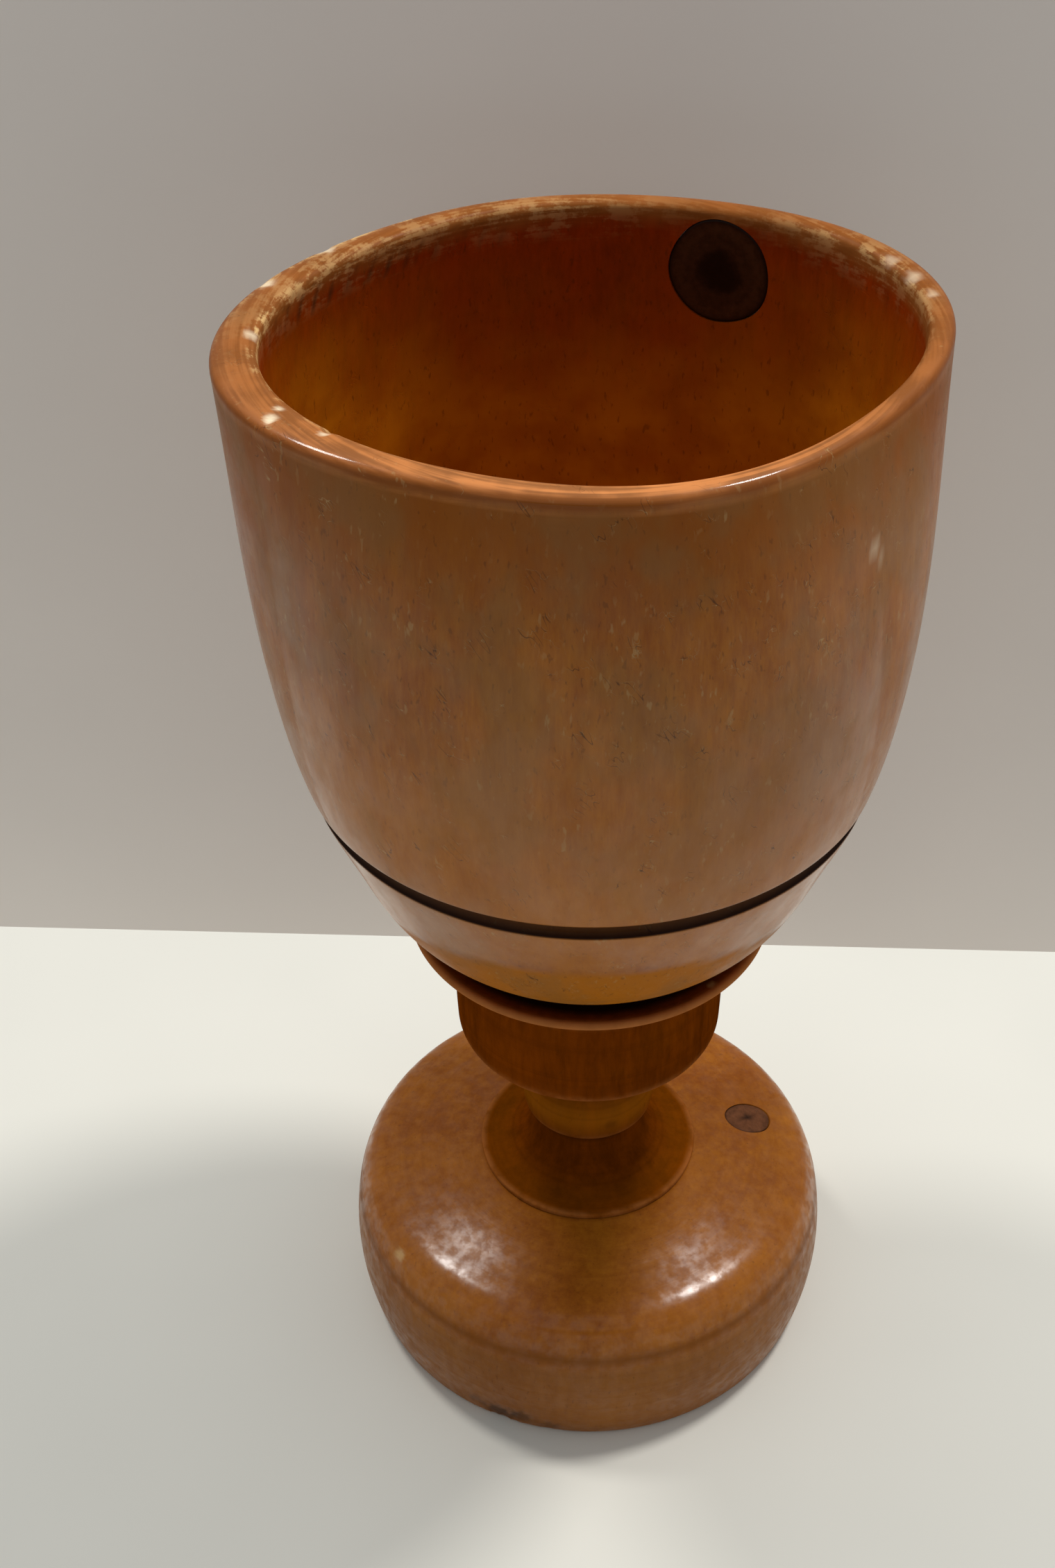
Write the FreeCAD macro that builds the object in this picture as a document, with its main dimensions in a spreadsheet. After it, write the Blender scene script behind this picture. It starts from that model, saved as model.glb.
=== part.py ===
"""Turned wooden goblet in five pieces: foot, stem, bowl and two natural knots.

The foot, stem and bowl are turned one by one and glued spigot into socket.
Each knot is a branch stub that sits in the wood around it without being part of it.
Millimetres, +Z up, origin at the centre of the face the goblet stands on.
"""
import FreeCAD, Part
import os
from collections import namedtuple

import Sketcher

# name, value, what it is. Lengths in millimetres, angles in degrees.
SIZES = [
    # foot: thick disc with a slightly swelling flank and a domed top
    ("base_dia", 52.0, "face the goblet stands on, over its rounded edge"),
    ("base_edge", 0.7, "rounding where the flank meets the base"),
    ("base_swell", 0.17, "bow of that rounding"),
    ("shoulder_dia", 53.3, "foot at the top of its flank"),
    ("shoulder_height", 14.2, "base to shoulder"),
    ("flank_swell", 0.8, "how far the flank bows out of straight"),
    ("crown_dia", 46.0, "where the shoulder curve runs into the dome"),
    ("crown_height", 18.68, "base to the same place"),
    ("shoulder_swell", 0.88, "bow of the shoulder curve"),
    ("dome_dia", 25.4, "where the dome ends at the stem's disc"),
    ("seat_height", 20.5, "base to the seat that the stem stands on"),
    ("dome_swell", 0.32, "bow of the dome"),
    # glue joints
    ("foot_socket_dia", 12.0, "socket in the foot"),
    ("foot_socket_depth", 12.0, "its depth"),
    ("stem_socket_dia", 13.0, "socket in the top of the stem"),
    ("stem_socket_depth", 10.0, "its depth"),
    ("glue_gap", 0.1, "clearance round each spigot"),
    ("spigot_overlap", 1.0, "how far the bowl's spigot starts inside the bowl's floor"),
    ("end_gap", 0.6, "clearance under each spigot"),
    # stem, heights counted from the seat on the foot
    ("disc_dia", 24.4, "disc that stands on the foot"),
    ("disc_edge", 0.7, "height of the disc's edge"),
    ("neck_dia", 12.2, "thinnest part"),
    ("neck_height", 6.4, "seat to the top of the cove above the disc"),
    ("cove_swell", 1.9, "depth of that cove"),
    ("bead_low_dia", 14.2, "lower edge of the bead"),
    ("bead_low_height", 7.5, "seat to the lower edge of the bead"),
    ("bead_top_dia", 13.0, "top of the bead"),
    ("bead_top_height", 14.2, "seat to the top of the bead"),
    ("bead_swell", 0.55, "bow of the bead"),
    ("knop_dia", 28.4, "knop at its ends"),
    ("knop_low_height", 21.7, "seat to the knop's lower end"),
    ("knop_top_height", 32.2, "seat to the knop's upper end"),
    ("knop_swell", 0.12, "bow of the knop's side"),
    ("knop_edge", 1.1, "width and height of its rounded ends"),
    ("edge_swell", 0.32, "bow of those ends"),
    ("under_swell", 1.5, "hollow of the underside of knop and collar"),
    ("collar_dia", 38.9, "collar over its rim"),
    ("collar_height", 37.5, "seat to the top of the rim"),
    ("collar_rim", 0.9, "thickness of the rim"),
    ("collar_swell", 0.35, "bow of the rim's edge"),
    ("dish_depth", 1.5, "rim down to the seat of the bowl"),
    ("seat_margin", 0.3, "flat of the dish round the seat of the bowl"),
    ("dish_swell", 0.25, "hollow of the dish between rim and bowl"),
    # bowl, heights counted from its seat in the dish
    ("bowl_seat_dia", 25.5, "bottom of the bowl"),
    ("tuck_dia", 34.5, "bowl just above the dish"),
    ("tuck_height", 3.6, "seat to that place"),
    ("heel_dia", 42.6, "bowl where it turns up"),
    ("heel_height", 7.4, "seat to heel"),
    ("waist_dia", 54.8, "bowl just under the groove"),
    ("waist_height", 20.4, "seat to waist"),
    ("flank_dia", 59.5, "bowl a third of the way up"),
    ("flank_height", 31.4, "seat to that place"),
    ("belly_dia", 61.0, "widest part, mean of its two widths"),
    ("belly_height", 46.0, "seat to belly"),
    ("belly_oval", 2.9, "long width less short width at the belly"),
    ("rim_dia", 58.7, "rim, mean of its two widths"),
    ("rim_height", 67.0, "seat to rim"),
    ("rim_oval", 9.9, "long width less short width at the rim"),
    ("belly_lean", 0.5, "how far the warped belly has moved off the axis"),
    ("rim_lean", 0.95, "how far the warped rim has moved off the axis"),
    ("oval_turn", 18.0, "direction of the long width"),
    ("wall_rim", 2.75, "mean wall at the rim"),
    ("wall_belly", 3.1, "mean wall at the belly"),
    ("wall_flank", 3.5, "wall a third of the way up"),
    ("wall_waist", 4.2, "wall behind the groove"),
    ("bore_shift", 0.95, "how far the hollow is off the middle of the rim"),
    ("floor_dia", 20.0, "flat bottom of the hollow"),
    ("floor_height", 9.4, "seat to the bottom of the hollow"),
    ("hollow_heel_dia", 36.7, "hollow where it turns up"),
    ("hollow_heel_height", 13.3, "seat to that place"),
    ("rim_round", 0.6, "rounding of both edges of the rim, less where the wall is thin"),
    ("groove_width", 2.0, "half-round groove at the waist"),
    ("groove_dia", 55.5, "the cup where the groove is cut, over its lips"),
    ("groove_height", 21.5, "seat to the middle of the groove"),
    # knots
    ("bowl_knot_dia", 9.9, "knot in the bowl, in the middle of the wall"),
    ("bowl_knot_height", 59.8, "seat of the bowl to the knot's middle"),
    ("bowl_knot_turn", 63.8, "its direction from the axis"),
    ("foot_knot_dia", 4.5, "knot in the foot, at the surface"),
    ("foot_knot_radius", 19.1, "axis to the knot's middle"),
    ("foot_knot_turn", 12.0, "its direction from the axis"),
    ("foot_knot_slant", 46.0, "how far the branch leans from upright"),
    ("foot_knot_depth", 8.0, "length of the stub in the foot"),
    ("knot_taper", 0.06, "how much a knot's radius grows along each millimetre"),
    ("knot_reach", 6.0, "length of a stub past its middle before it is trimmed flush"),
    ("knot_gap", 0.05, "clearance round each knot"),
]

# One corner of a turned outline: distance from the axis and height, as formulas, and the
# bow of the run to the next corner. bulge is +1 for a swell, -1 for a hollow, 0 for a
# straight run; bow names the size that says how far it leaves the straight line.
Corner = namedtuple("Corner", "radius height bulge bow", defaults=(0, None))

# Most of the thinnest wall that each of the rim's two roundings may take.
ROUND_SHARE = 0.35

doc = FreeCAD.newDocument("goblet")
sheet = doc.addObject("Spreadsheet::Sheet", "sizes")
for row, (name, value, note) in enumerate(SIZES, start=1):
    sheet.set("A%d" % row, name)
    sheet.set("B%d" % row, str(value))
    sheet.set("C%d" % row, note)
    sheet.setAlias("B%d" % row, name)
doc.recompute()


def formula(text):
    """Turn {name} into a reference to the sheet's cell of that name."""
    return text.replace("{", "sizes.").replace("}", "")


def number(text):
    """Value of a formula now."""
    return float(sheet.evalExpression(formula(text)))


def origin_part(body, role):
    """The plane or axis of a body's own origin that has this role."""
    return next(item for item in body.Origin.OriginFeatures if item.Role == role)


def arc_radius(start, end):
    """Formula of the radius of an arc between two corners with the start corner's bow."""
    chord_squared = "((%s) - (%s))^2 + ((%s) - (%s))^2" % (
        end.radius, start.radius, end.height, start.height)
    return "((%s) / 4 + (%s)^2) / (2 * (%s))" % (chord_squared, start.bow, start.bow)


def arc_through(start, end):
    """Arc between two corners, always anticlockwise, and whether its ends are swapped."""
    first = FreeCAD.Vector(number(start.radius), number(start.height), 0)
    last = FreeCAD.Vector(number(end.radius), number(end.height), 0)
    chord = last - first
    outward = FreeCAD.Vector(chord.y, -chord.x, 0).normalize() * start.bulge
    middle = (first + last) / 2 + outward * number(start.bow)
    if start.bulge > 0:
        return Part.Arc(first, middle, last), False
    return Part.Arc(last, middle, first), True


def bind(sketch, kind, places, text, label):
    """Add a dimension to a sketch and bind it to a formula."""
    index = sketch.addConstraint(Sketcher.Constraint(kind, *places, number(text)))
    sketch.renameConstraint(index, label)
    sketch.setExpression("Constraints." + label, formula(text))


def draw_outline(body, corners):
    """Closed half outline in the XZ plane; the last corner closes along the axis."""
    sketch = body.newObject("Sketcher::SketchObject", body.Name + "_outline")
    sketch.AttachmentSupport = [(origin_part(body, "XZ_Plane"), "")]
    sketch.MapMode = "FlatFace"
    ends = []
    for start, end in zip(corners, corners[1:] + corners[:1]):
        if start.bulge:
            curve, swapped = arc_through(start, end)
        else:
            first = FreeCAD.Vector(number(start.radius), number(start.height), 0)
            last = FreeCAD.Vector(number(end.radius), number(end.height), 0)
            curve, swapped = Part.LineSegment(first, last), False
        index = sketch.addGeometry(curve, False)
        ends.append((index, 2, 1) if swapped else (index, 1, 2))
    for place, (edge, start_end, far_end) in enumerate(ends):
        following = ends[(place + 1) % len(ends)]
        sketch.addConstraint(
            Sketcher.Constraint("Coincident", edge, far_end, following[0], following[1]))
    for place, (corner, (edge, start_end, far_end)) in enumerate(zip(corners, ends)):
        for kind, text, axis in (("DistanceX", corner.radius, -2), ("DistanceY", corner.height, -1)):
            if text == "0":
                sketch.addConstraint(Sketcher.Constraint("PointOnObject", edge, start_end, axis))
            else:
                bind(sketch, kind, (-1, 1, edge, start_end), text, "%s%d" % (kind, place))
        if corner.bulge:
            radius = arc_radius(corner, corners[(place + 1) % len(corners)])
            bind(sketch, "Radius", (edge,), radius, "Radius%d" % place)
    return sketch


def turn(name, corners):
    """PartDesign body turned about Z from its half outline."""
    body = doc.addObject("PartDesign::Body", name)
    sketch = draw_outline(body, corners)
    turned = body.newObject("PartDesign::Revolution", name + "_turned")
    turned.Profile = sketch
    turned.ReferenceAxis = (sketch, ["V_Axis"])
    turned.Angle = 360
    sketch.Visibility = False
    doc.recompute()
    return body


def bore_socket(body, top, diameter, depth):
    """Flat-bottomed hole down the axis from the height `top`."""
    hole = body.newObject("PartDesign::SubtractiveCylinder", body.Name + "_socket")
    hole.AttachmentSupport = [(origin_part(body, "XY_Plane"), "")]
    hole.MapMode = "FlatFace"
    hole.setExpression("Radius", formula(diameter + " / 2"))
    hole.setExpression("Height", formula(depth))
    hole.setExpression("AttachmentOffset.Base.z", formula("%s - %s" % (top, depth)))


def raise_to(thing, height):
    """Stand a piece at a height in the goblet."""
    thing.setExpression("Placement.Base.z", formula(height))


def section(name, height, mean_dia, oval, shift):
    """Oval ring, the long width in the sheet's direction."""
    ring = doc.addObject("Part::Ellipse", name)
    ring.setExpression("MajorRadius", formula("(%s + %s / 2) / 2" % (mean_dia, oval)))
    ring.setExpression("MinorRadius", formula("(%s - %s / 2) / 2" % (mean_dia, oval)))
    ring.setExpression("Placement", formula(
        "create(<<placement>>; create(<<vector>>; %s; 0; %s); create(<<rotation>>; {oval_turn}; 0; 0))"
        % (shift, height)))
    return ring


def loft(name, rings):
    """Smooth solid through a stack of rings."""
    solid = doc.addObject("Part::Loft", name)
    solid.Sections = rings
    solid.Solid = True
    solid.Ruled = False
    return solid


def boolean(kind, name, base, tool):
    """Part::Cut, Part::Fuse or Part::Common of two solids."""
    result = doc.addObject("Part::" + kind, name)
    result.Base = base
    result.Tool = tool
    return result


def level_edges(shape, height):
    """Numbers of the edges that lie flat at this height."""
    return [index for index, edge in enumerate(shape.Edges, start=1)
            if abs(edge.BoundBox.ZMin - height) < 0.01 and abs(edge.BoundBox.ZMax - height) < 0.01]


def branch(name, middle_dia, gap, reach_in, radius, height, azimuth, slant):
    """Tapered stub whose axis passes a point at `radius` and `height` and leans outwards.

    It starts `reach_in` before that point and runs the sheet's reach past it."""
    stub = doc.addObject("Part::Cone", name)
    stub.setExpression("Radius1", formula(
        "%s / 2 - {knot_taper} * (%s) + %s" % (middle_dia, reach_in, gap)))
    stub.setExpression("Radius2", formula(
        "%s / 2 + {knot_taper} * {knot_reach} + %s" % (middle_dia, gap)))
    stub.setExpression("Height", formula("%s + {knot_reach}" % reach_in))
    start_radius = "(%s - (%s) * sin(%s))" % (radius, reach_in, slant)
    stub.setExpression("Placement", formula(
        "create(<<placement>>; create(<<vector>>; %s * cos(%s); %s * sin(%s); %s - (%s) * cos(%s));"
        " create(<<rotation>>; %s; %s; 0))"
        % (start_radius, azimuth, start_radius, azimuth, height, reach_in, slant, azimuth, slant)))
    return stub


def make_foot():
    """Foot with its socket, and the knot that sits in its dome."""
    body = turn("foot_blank", [
        Corner("0", "0"),
        Corner("{base_dia} / 2 - {base_edge}", "0", 1, "{base_swell}"),
        Corner("{base_dia} / 2", "{base_edge}", 1, "{flank_swell}"),
        Corner("{shoulder_dia} / 2", "{shoulder_height}", 1, "{shoulder_swell}"),
        Corner("{crown_dia} / 2", "{crown_height}", 1, "{dome_swell}"),
        Corner("{dome_dia} / 2", "{seat_height}"),
        Corner("0", "{seat_height}"),
    ])
    bore_socket(body, "{seat_height}", "{foot_socket_dia}", "{foot_socket_depth}")
    dome_slope = "({seat_height} - {crown_height}) / ({crown_dia} / 2 - {dome_dia} / 2)"
    surface = "({crown_height} + ({crown_dia} / 2 - {foot_knot_radius}) * %s)" % dome_slope
    place = ("{foot_knot_radius}", surface, "{foot_knot_turn}", "{foot_knot_slant}")
    stub = branch("foot_knot_stub", "{foot_knot_dia}", "0", "{foot_knot_depth}", *place)
    pocket = branch("foot_knot_pocket", "{foot_knot_dia}", "{knot_gap}",
                    "{foot_knot_depth} + {knot_gap}", *place)
    return boolean("Cut", "foot", body, pocket), boolean("Common", "foot_knot", body, stub)


def make_stem():
    """Stem: spigot, disc, coved neck, bead, knop and dished collar with a socket."""
    spigot = "{foot_socket_dia} / 2 - {glue_gap}"
    spigot_end = "{end_gap} - {foot_socket_depth}"
    knop_shoulder = "{knop_dia} / 2 - {knop_edge}"
    rim = "{collar_dia} / 2 - {collar_swell}"
    body = turn("stem", [
        Corner("0", spigot_end),
        Corner(spigot, spigot_end),
        Corner(spigot, "0"),
        Corner("{disc_dia} / 2", "0"),
        Corner("{disc_dia} / 2", "{disc_edge}", -1, "{cove_swell}"),
        Corner("{neck_dia} / 2", "{neck_height}"),
        Corner("{bead_low_dia} / 2", "{bead_low_height}", 1, "{bead_swell}"),
        Corner("{bead_top_dia} / 2", "{bead_top_height}", -1, "{under_swell}"),
        Corner(knop_shoulder, "{knop_low_height} - {knop_edge}", 1, "{edge_swell}"),
        Corner("{knop_dia} / 2", "{knop_low_height}", 1, "{knop_swell}"),
        Corner("{knop_dia} / 2", "{knop_top_height}", 1, "{edge_swell}"),
        Corner(knop_shoulder, "{knop_top_height} + {knop_edge}", -1, "{under_swell} / 2"),
        Corner(rim, "{collar_height} - {collar_rim}", 1, "{collar_swell}"),
        Corner(rim, "{collar_height}", -1, "{dish_swell}"),
        Corner("{bowl_seat_dia} / 2 + {seat_margin}", "{collar_height} - {dish_depth}"),
        Corner("0", "{collar_height} - {dish_depth}"),
    ])
    bore_socket(body, "({collar_height} - {dish_depth})", "{stem_socket_dia}", "{stem_socket_depth}")
    raise_to(body, "{seat_height}")
    return body


def make_bowl():
    """Bowl with its spigot, groove and rounded rim, and the knot through its wall."""
    seat = "({seat_height} + {collar_height} - {dish_depth})"

    def at(height):
        return "%s + %s" % (seat, height)

    lean = "0 - {rim_lean}"
    belly_lean = "0 - {belly_lean}"
    flank_lean = "0 - {belly_lean} / 2"
    outer = loft("bowl_outer", [
        section("outer_seat", seat, "{bowl_seat_dia}", "0", "0"),
        section("outer_tuck", at("{tuck_height}"), "{tuck_dia}", "0", "0"),
        section("outer_heel", at("{heel_height}"), "{heel_dia}", "0", "0"),
        section("outer_waist", at("{waist_height}"), "{waist_dia}", "0", "0"),
        section("outer_flank", at("{flank_height}"), "{flank_dia}", "{belly_oval} / 3", flank_lean),
        section("outer_belly", at("{belly_height}"), "{belly_dia}", "{belly_oval}", belly_lean),
        section("outer_rim", at("{rim_height}"), "{rim_dia}", "{rim_oval}", lean),
    ])
    hollow = loft("bowl_hollow", [
        section("hollow_floor", at("{floor_height}"), "{floor_dia}", "0", "0"),
        section("hollow_heel", at("{hollow_heel_height}"), "{hollow_heel_dia}", "0", "0"),
        section("hollow_waist", at("{waist_height}"), "({waist_dia} - 2 * {wall_waist})", "0", "0"),
        section("hollow_flank", at("{flank_height}"), "({flank_dia} - 2 * {wall_flank})",
                "{belly_oval} / 3", flank_lean),
        section("hollow_belly", at("{belly_height}"), "({belly_dia} - 2 * {wall_belly})",
                "{belly_oval}", belly_lean + " + {bore_shift} / 3"),
        section("hollow_rim", at("{rim_height}"), "({rim_dia} - 2 * {wall_rim})", "{rim_oval}",
                lean + " + {bore_shift}"),
    ])
    spigot = doc.addObject("Part::Cylinder", "bowl_spigot")
    spigot.setExpression("Radius", formula("{stem_socket_dia} / 2 - {glue_gap}"))
    spigot.setExpression("Height", formula("{stem_socket_depth} - {end_gap} + {spigot_overlap}"))
    raise_to(spigot, seat + " - {stem_socket_depth} + {end_gap}")
    groove = doc.addObject("Part::Torus", "bowl_groove")
    groove.setExpression("Radius1", formula("{groove_dia} / 2"))
    groove.setExpression("Radius2", formula("{groove_width} / 2"))
    raise_to(groove, at("{groove_height}"))

    cup = boolean("Cut", "bowl_cup", outer, hollow)
    cup = boolean("Fuse", "bowl_with_spigot", cup, spigot)
    cup = boolean("Cut", "bowl_grooved", cup, groove)
    doc.recompute()
    thinnest_wall = number("{wall_rim} - {bore_shift}")
    rounding = min(number("{rim_round}"), ROUND_SHARE * thinnest_wall)
    blank = doc.addObject("Part::Fillet", "bowl_blank")
    blank.Base = cup
    blank.Edges = [(index, rounding, rounding)
                   for index in level_edges(cup.Shape, number(at("{rim_height}")))]

    wall_middle = "({rim_dia} - {wall_rim}) / 2"
    place = (wall_middle, at("{bowl_knot_height}"), "{bowl_knot_turn}", "90")
    stub = branch("bowl_knot_stub", "{bowl_knot_dia}", "0", "{knot_reach}", *place)
    pocket = branch("bowl_knot_pocket", "{bowl_knot_dia}", "{knot_gap}", "{knot_reach}", *place)
    return boolean("Cut", "bowl", blank, pocket), boolean("Common", "bowl_knot", blank, stub)


foot, foot_knot = make_foot()
stem = make_stem()
bowl, bowl_knot = make_bowl()
doc.recompute()

for item in doc.Objects:
    if {"Invalid", "Error"} & set(item.State):
        raise RuntimeError("%s did not compute: %s" % (item.Name, item.State))
os.makedirs("parts", exist_ok=True)
for piece in (foot, foot_knot, stem, bowl, bowl_knot):
    piece.Label = piece.Name
    shape = piece.Shape
    if shape.isNull() or not shape.isValid() or len(shape.Solids) != 1:
        raise RuntimeError("%s is not one sound solid" % piece.Name)
for piece in (foot, foot_knot, stem, bowl, bowl_knot):
    piece.Shape.exportStep(os.path.join("parts", piece.Label + ".step"))
    box = piece.Shape.BoundBox
    print("%-10s volume %9.1f  z %6.2f to %6.2f  x %6.2f to %6.2f  y %6.2f to %6.2f" % (
        piece.Label, piece.Shape.Volume, box.ZMin, box.ZMax, box.XMin, box.XMax, box.YMin, box.YMax))
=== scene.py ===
"""Looks of a turned wooden goblet, laid out as an add-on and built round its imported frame.

Foot, stem and bowl are turned shapes: a smooth outline carried round the upright axis. The bowl
then warps to an oval, as a cup does while its wood dries. Two knots sit in pockets of the wood.
Lengths inside the script are millimetres; meshes go into the scene in metres.
"""

import math
from collections import namedtuple

import bpy
import numpy as np
from bpy.props import FloatProperty, FloatVectorProperty, PointerProperty
from mathutils import Matrix, Vector


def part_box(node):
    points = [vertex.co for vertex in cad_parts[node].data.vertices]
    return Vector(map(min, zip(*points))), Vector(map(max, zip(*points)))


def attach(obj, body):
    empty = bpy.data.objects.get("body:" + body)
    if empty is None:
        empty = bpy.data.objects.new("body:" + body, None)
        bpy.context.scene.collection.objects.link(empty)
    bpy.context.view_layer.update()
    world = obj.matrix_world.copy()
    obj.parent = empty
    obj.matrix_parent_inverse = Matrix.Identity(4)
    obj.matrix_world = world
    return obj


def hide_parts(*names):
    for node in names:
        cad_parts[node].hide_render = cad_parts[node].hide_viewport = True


bl_info = {
    "name": "Turned Wooden Goblet",
    "version": (1, 0, 0),
    "blender": (4, 5, 0),
    "location": "3D View > Sidebar > Goblet",
    "description": "Builds a varnished goblet turned from wood, with its knots, table and lamps",
    "category": "Add Mesh",
}

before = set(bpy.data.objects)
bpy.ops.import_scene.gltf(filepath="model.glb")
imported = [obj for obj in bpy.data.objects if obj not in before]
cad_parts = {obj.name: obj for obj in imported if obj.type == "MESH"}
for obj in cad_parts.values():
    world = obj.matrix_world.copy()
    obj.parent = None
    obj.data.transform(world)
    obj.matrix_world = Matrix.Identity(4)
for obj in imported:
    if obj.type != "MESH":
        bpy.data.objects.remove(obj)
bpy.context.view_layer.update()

MM = 0.001


def highest(node):
    """Highest corner of a frame node, in millimetres."""
    return np.array(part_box(node)[1]) / MM


FOOT_HIGH, STEM_HIGH, BOWL_HIGH = (highest(node) for node in ("foot", "stem", "bowl"))
FOOT_RADIUS, SEAT = FOOT_HIGH[0], FOOT_HIGH[2]      # the stem stands on the seat
COLLAR_RADIUS, COLLAR_TOP = STEM_HIGH[0], STEM_HIGH[2]
DISH_DEPTH = 1.5
BOWL_SEAT = COLLAR_TOP - DISH_DEPTH                 # where the bowl stands in the dished collar
RIM_HEIGHT = BOWL_HIGH[2]

VARNISH_IOR = 1.5
SHOULDER_REFLECTION_LINE = (0.18, 0.052, 0.002)     # painted reflection: a dark line where the foot's flank meets its dome, where its reflection changes
GRIME = (0.02, 0.008, 0.004)             # dirt in the dents of foot and stem
CREVICE_SHADE = (0.010, 0.003, 0.002)          # painted shade between collar and bowl
UNDER_RIM_SHADE = (0.23, 0.060, 0.003)         # painted shade: a darker, redder band of the bowl below its rim
RIM_IN_SHADE = (0.195, 0.056, 0.007)     # painted shade on the rim, all round but its front
BEVEL = (0.21, 0.052, 0.002)             # outer corner of the rim
TIRED_VARNISH = (0.200, 0.100, 0.030)    # olive patches of old varnish
BELLY_SHEEN = (0.48, 0.17, 0.02)          # painted sheen: paler low on the bowl, as the table's reflection
SCUFF = (0.045, 0.018, 0.006)
GROOVE = (0.008, 0.001, 0.001)           # stain in the cut groove
CHIP = (0.86, 0.72, 0.50)                # fresh wood in a chip
DENT_DIRT = (0.05, 0.03, 0.02)
KNOT_CORE = (0.006, 0.002, 0.001)
BARK = (0.008, 0.003, 0.002)             # thin bark line round a knot
SHADE_CARD = (0.02, 0.02, 0.02)

# The stage, in millimetres and degrees. The wall isn't quite square to the table's edge.
TABLE_REACH, TABLE_FRONT, WALL_TOP, WALL_SLANT = 900.0, -420.0, 170.0, 0.024
LAMP_DISTANCE, LAMP_COLOUR = 480, (1.0, 0.97, 0.93)
CAMERA_PLACE = (0, -162.6, 203.16)
CAMERA_DOWN, CAMERA_TURN, CAMERA_ROLL = 38.72, 2.19, -1.056


# ---------------------------------------------------------------- sizes and colours a user changes

class GobletSizes(bpy.types.PropertyGroup):
    """Sizes of the turned shapes."""
    foot_radius: FloatProperty(
        name="Foot radius", default=FOOT_RADIUS * MM, unit="LENGTH", precision=4,
        description="Widest part of the foot, on its swelling flank")
    shoulder_height: FloatProperty(
        name="Shoulder height", default=14.2 * MM, unit="LENGTH", precision=4,
        description="Table to the line where the flank turns over into the dome")
    neck_radius: FloatProperty(
        name="Neck radius", default=6.1 * MM, unit="LENGTH", precision=4,
        description="Thinnest part of the stem")
    knop_radius: FloatProperty(
        name="Knop radius", default=14.2 * MM, unit="LENGTH", precision=4,
        description="Wide drum of the stem under the collar")
    collar_radius: FloatProperty(
        name="Collar radius", default=COLLAR_RADIUS * MM, unit="LENGTH", precision=4,
        description="Thin dished collar that holds the bowl")
    belly_radius: FloatProperty(
        name="Belly radius", default=30.5 * MM, unit="LENGTH", precision=4,
        description="Mean radius of the bowl at its widest")
    rim_radius: FloatProperty(
        name="Rim radius", default=29.05 * MM, unit="LENGTH", precision=4,
        description="Mean radius of the bowl's rim")
    rim_wall: FloatProperty(
        name="Wall at the rim", default=2.8 * MM, unit="LENGTH", precision=4,
        description="Mean thickness of the wall at the rim")
    groove_radius: FloatProperty(
        name="Groove radius", default=1.0 * MM, unit="LENGTH", precision=4,
        description="Half the width of the half-round groove")
    oval: FloatProperty(
        name="Oval", default=0.09, min=0.0, max=0.2, subtype="FACTOR",
        description="Share of its radius by which the rim has warped to an oval")
    bowl_knot_radius: FloatProperty(
        name="Bowl knot radius", default=4.95 * MM, unit="LENGTH", precision=4,
        description="Knot in the bowl, in the middle of the wall")
    foot_knot_radius: FloatProperty(
        name="Foot knot radius", default=2.25 * MM, unit="LENGTH", precision=4,
        description="Knot in the foot, across the branch")


class GobletColours(bpy.types.PropertyGroup):
    """Colours of the wood and its varnish."""
    pale_wood: FloatVectorProperty(
        name="Pale wood", subtype="COLOR", default=(0.375, 0.126, 0.009), min=0, max=1,
        description="Early wood under the varnish")
    deep_wood: FloatVectorProperty(
        name="Deep wood", subtype="COLOR", default=(0.23, 0.056, 0.004), min=0, max=1,
        description="Late wood and streaks under the varnish")
    hollow_wood: FloatVectorProperty(
        name="Wood inside the bowl", subtype="COLOR", default=(0.25, 0.026, 0.0002), min=0, max=1,
        description="Darker amber of the hollow, where the varnish has pooled")
    # Golden wood on the bead and in patches; inside the bowl it paints light.
    golden_wood_and_light: FloatVectorProperty(
        name="Golden patches", subtype="COLOR", default=(0.44, 0.140, 0.003), min=0, max=1,
        description="Golden patches low inside the bowl and on the bead")
    rim_wood: FloatVectorProperty(
        name="Rim", subtype="COLOR", default=(0.50, 0.185, 0.055), min=0, max=1,
        description="Orange-pink end grain of the rim")
    stem_wood: FloatVectorProperty(
        name="Stem", subtype="COLOR", default=(0.155, 0.031, 0.0008), min=0, max=1,
        description="Darker red-brown of the knop and the stem")
    # Painted shade and sheen: the foot's side is made darker and greyer than its dome.
    flank_wood_shade_and_sheen: FloatVectorProperty(
        name="Flank of the foot", subtype="COLOR", default=(0.21, 0.082, 0.018), min=0, max=1,
        description="Duller brown of the foot's side")
    bare_wood: FloatVectorProperty(
        name="Bare wood", subtype="COLOR", default=(0.78, 0.52, 0.22), min=0, max=1,
        description="Cream wood where the varnish has worn away")
    knot_wood: FloatVectorProperty(
        name="Knot", subtype="COLOR", default=(0.045, 0.016, 0.006), min=0, max=1,
        description="Dark wood of the knots")


class GobletStage(bpy.types.PropertyGroup):
    """Table, wall, lamps and camera."""
    table: FloatVectorProperty(
        name="Table", subtype="COLOR", default=(0.80, 0.79, 0.72), min=0, max=1,
        description="Pale table top")
    wall: FloatVectorProperty(
        name="Wall", subtype="COLOR", default=(0.80, 0.74, 0.69), min=0, max=1,
        description="Plain wall behind the table")
    wall_distance: FloatProperty(
        name="Wall distance", default=55 * MM, unit="LENGTH",
        description="Axis of the goblet to the wall")
    lamp_power: FloatProperty(
        name="Lamp power", default=1.05, unit="POWER",
        description="Power of the brighter overhead lamp")
    daylight: FloatProperty(
        name="Daylight", default=0.46, min=0,
        description="Strength of the soft light from all round")
    lens: FloatProperty(
        name="Lens", default=47.79, unit="CAMERA",
        description="Focal length of the camera, in millimetres")


# ---------------------------------------------------------------- outlines

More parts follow.
